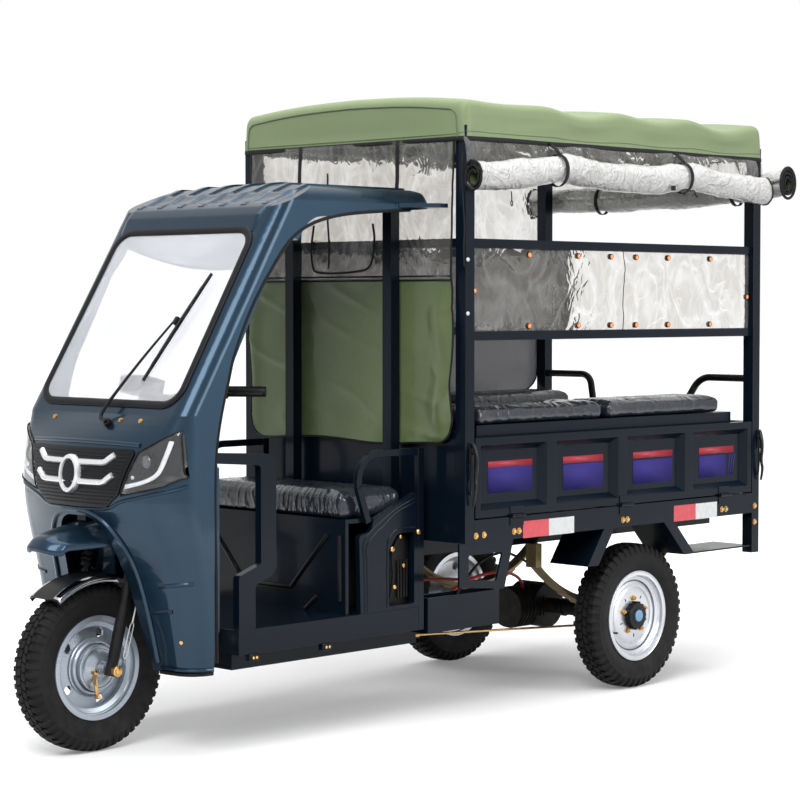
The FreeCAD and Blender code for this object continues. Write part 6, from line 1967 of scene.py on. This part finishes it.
def shield_foot(side, suffix):
    """The blue lip and the black rubber along the foot of a leg shield."""
    foot = []
    edge_z = 0.3
    rear_limit = back(0.25)
    for k in range(16):
        x = side * (0.244 + 0.155 * k / 15)
        for step in range(30):
            z = 0.246 + 0.002 * step
            place, _ = on_front(cab_tree, x, z)
            if place is not None and place.y < rear_limit:
                edge_z = min(z, edge_z)
                break
        place, normal = on_front(cab_tree, x, edge_z + 0.03)
        if place is not None and place.y < rear_limit:
            foot.append((Vector((place.x, place.y, edge_z)), normal))
    start = foot[-1][0].y
    for k in range(1, 9):
        y = start + (back(0.194) - start) * k / 8
        hit, normal = spot(cab_roof_tree, (side * 1.0, y, edge_z + 0.03), (-side, 0, 0))
        if hit is not None and abs(hit.x) > abs(foot[-1][0].x):
            foot.append((Vector((hit.x, y, edge_z)), normal))
    for name, rise, radius, finish, slot in (("shield lip ", 0.012, 0.006, cab_paint, "cab_paint"),
                                             ("shield rubber ", -0.002, 0.0052, rubber, "black_rubber")):
        bm = bmesh.new()
        add_tube(bm, [place + Vector((0, 0, rise)) + normal * 0.0005 for place, normal in foot], radius)
        piece(bm, name + suffix, finish)


for side, suffix in sides:
    shield_foot(side, suffix)


# The studio: floor, light and camera.
camera_place = Vector((5.8434, axle_y - 4.5411, 1.4315))
camera_yaw = radians(44.39)
camera_pitch = radians(2.38)
photo_width = 800
focal_pixels = 2294.5
sensor = 36.0


def seen_rays(tree):
    """1 for rays that reach the eye straight, through glass or off a bright surface, and 0 for the others."""
    paths = tree.nodes.new("ShaderNodeLightPath").outputs
    seen = math_node(tree, "MAXIMUM", paths["Is Camera Ray"], paths["Is Transmission Ray"])
    return math_node(tree, "MAXIMUM", seen, paths["Is Glossy Ray"])


def floor():
    """A floor that is seen white and lights the vehicle like a pale one, less so close to it."""
    bm = bmesh.new()
    bmesh.ops.create_grid(bm, x_segments=1, y_segments=1, size=60.0)
    mesh = bpy.data.meshes.new("studio_floor")
    bm.to_mesh(mesh)
    bm.free()
    obj = bpy.data.objects.new("studio_floor", mesh)
    scene.collection.objects.link(obj)
    obj.location.z = -0.0005
    material = bpy.data.materials.new("studio floor")
    material.use_nodes = True
    tree = material.node_tree
    shader = tree.nodes["Principled BSDF"]
    shader.inputs["Roughness"].default_value = 0.9
    shader.inputs["Specular IOR Level"].default_value = 0.1
    away = tree.nodes.new("ShaderNodeVectorMath")
    away.operation = "LENGTH"
    spot_on = tree.nodes.new("ShaderNodeTexCoord")
    tree.links.new(spot_on.outputs["Object"], away.inputs[0])
    rising = add_node(tree, "MapRange", From_Min=1.2, From_Max=4.5, To_Min=0.18, To_Max=0.75,
                      Value=away.outputs["Value"])
    rising.interpolation_type = "SMOOTHSTEP"
    glow = add_node(tree, "Emission", Color=(1, 1, 1, 1), Strength=rising.outputs["Result"])
    seen = seen_rays(tree)
    blank = add_node(tree, "Emission", Color=(0, 0, 0, 1))
    tone = mix_colour(tree, seen, (0.17, 0.17, 0.17), (0.86, 0.86, 0.86))
    tree.links.new(tone, shader.inputs["Base Color"])
    extra = tree.nodes.new("ShaderNodeMixShader")
    tree.links.new(seen, extra.inputs[0])
    tree.links.new(blank.outputs[0], extra.inputs[1])
    tree.links.new(glow.outputs[0], extra.inputs[2])
    total = tree.nodes.new("ShaderNodeAddShader")
    tree.links.new(shader.outputs[0], total.inputs[0])
    tree.links.new(extra.outputs[0], total.inputs[1])
    tree.links.new(total.outputs[0], tree.nodes["Material Output"].inputs["Surface"])
    mesh.materials.append(material)


def studio_world():
    """Soft surroundings, white where they are seen straight or through glass."""
    world = bpy.data.worlds.new("studio")
    scene.world = world
    world.use_nodes = True
    tree = world.node_tree
    lit = tree.nodes["Background"]
    place = tree.nodes.new("ShaderNodeTexCoord")
    split = add_node(tree, "SeparateXYZ", Vector=place.outputs["Generated"])
    shade = tree.nodes.new("ShaderNodeValToRGB")
    shade.color_ramp.elements[0].position = 0.05
    shade.color_ramp.elements[0].color = (0.16, 0.165, 0.175, 1)
    shade.color_ramp.elements[1].position = 0.85
    shade.color_ramp.elements[1].color = (1.0, 1.0, 1.0, 1)
    tree.links.new(split.outputs["Z"], shade.inputs["Fac"])
    tree.links.new(shade.outputs["Color"], lit.inputs["Color"])
    lit.inputs["Strength"].default_value = 0.55
    white = add_node(tree, "Background", Color=(1, 1, 1, 1), Strength=1.0)
    seen = seen_rays(tree)
    mix = tree.nodes.new("ShaderNodeMixShader")
    tree.links.new(seen, mix.inputs[0])
    tree.links.new(lit.outputs[0], mix.inputs[1])
    tree.links.new(white.outputs[0], mix.inputs[2])
    tree.links.new(mix.outputs[0], tree.nodes["World Output"].inputs["Surface"])


def soft_lamp(name, place, target, size, power):
    """A large soft lamp that looks at a target."""
    data = bpy.data.lights.new(name, "AREA")
    data.shape = "RECTANGLE"
    data.size, data.size_y = size
    data.energy = power
    obj = bpy.data.objects.new(name, data)
    scene.collection.objects.link(obj)
    obj.location = place
    obj.rotation_euler = (Vector(target) - Vector(place)).to_track_quat("-Z", "Y").to_euler()
    return obj


def photo_camera():
    """The camera that the photo was taken with, as solved from it."""
    data = bpy.data.cameras.new("camera")
    data.sensor_width = sensor
    data.lens = sensor * focal_pixels / photo_width
    data.clip_end = 200
    obj = bpy.data.objects.new("camera", data)
    scene.collection.objects.link(obj)
    ahead = Vector((-sin(camera_yaw) * cos(camera_pitch),
                    cos(camera_yaw) * cos(camera_pitch), -sin(camera_pitch)))
    obj.location = camera_place
    obj.rotation_euler = ahead.to_track_quat("-Z", "Y").to_euler()
    scene.camera = obj


floor()
studio_world()
middle = Vector((0, 0, 1.0))
soft_lamp("key", (3.5, -5.5, 5.5), middle, (4.0, 4.0), 420)
soft_lamp("side", (6.5, 2.5, 3.2), middle, (3.0, 4.0), 240)
soft_lamp("top", (0, 0, 6.0), middle, (5.0, 6.0), 260)
soft_lamp("far", (-6.0, -1.0, 4.0), middle, (4.0, 4.0), 160).visible_glossy = False
photo_camera()
scene.view_settings.view_transform = "Standard"
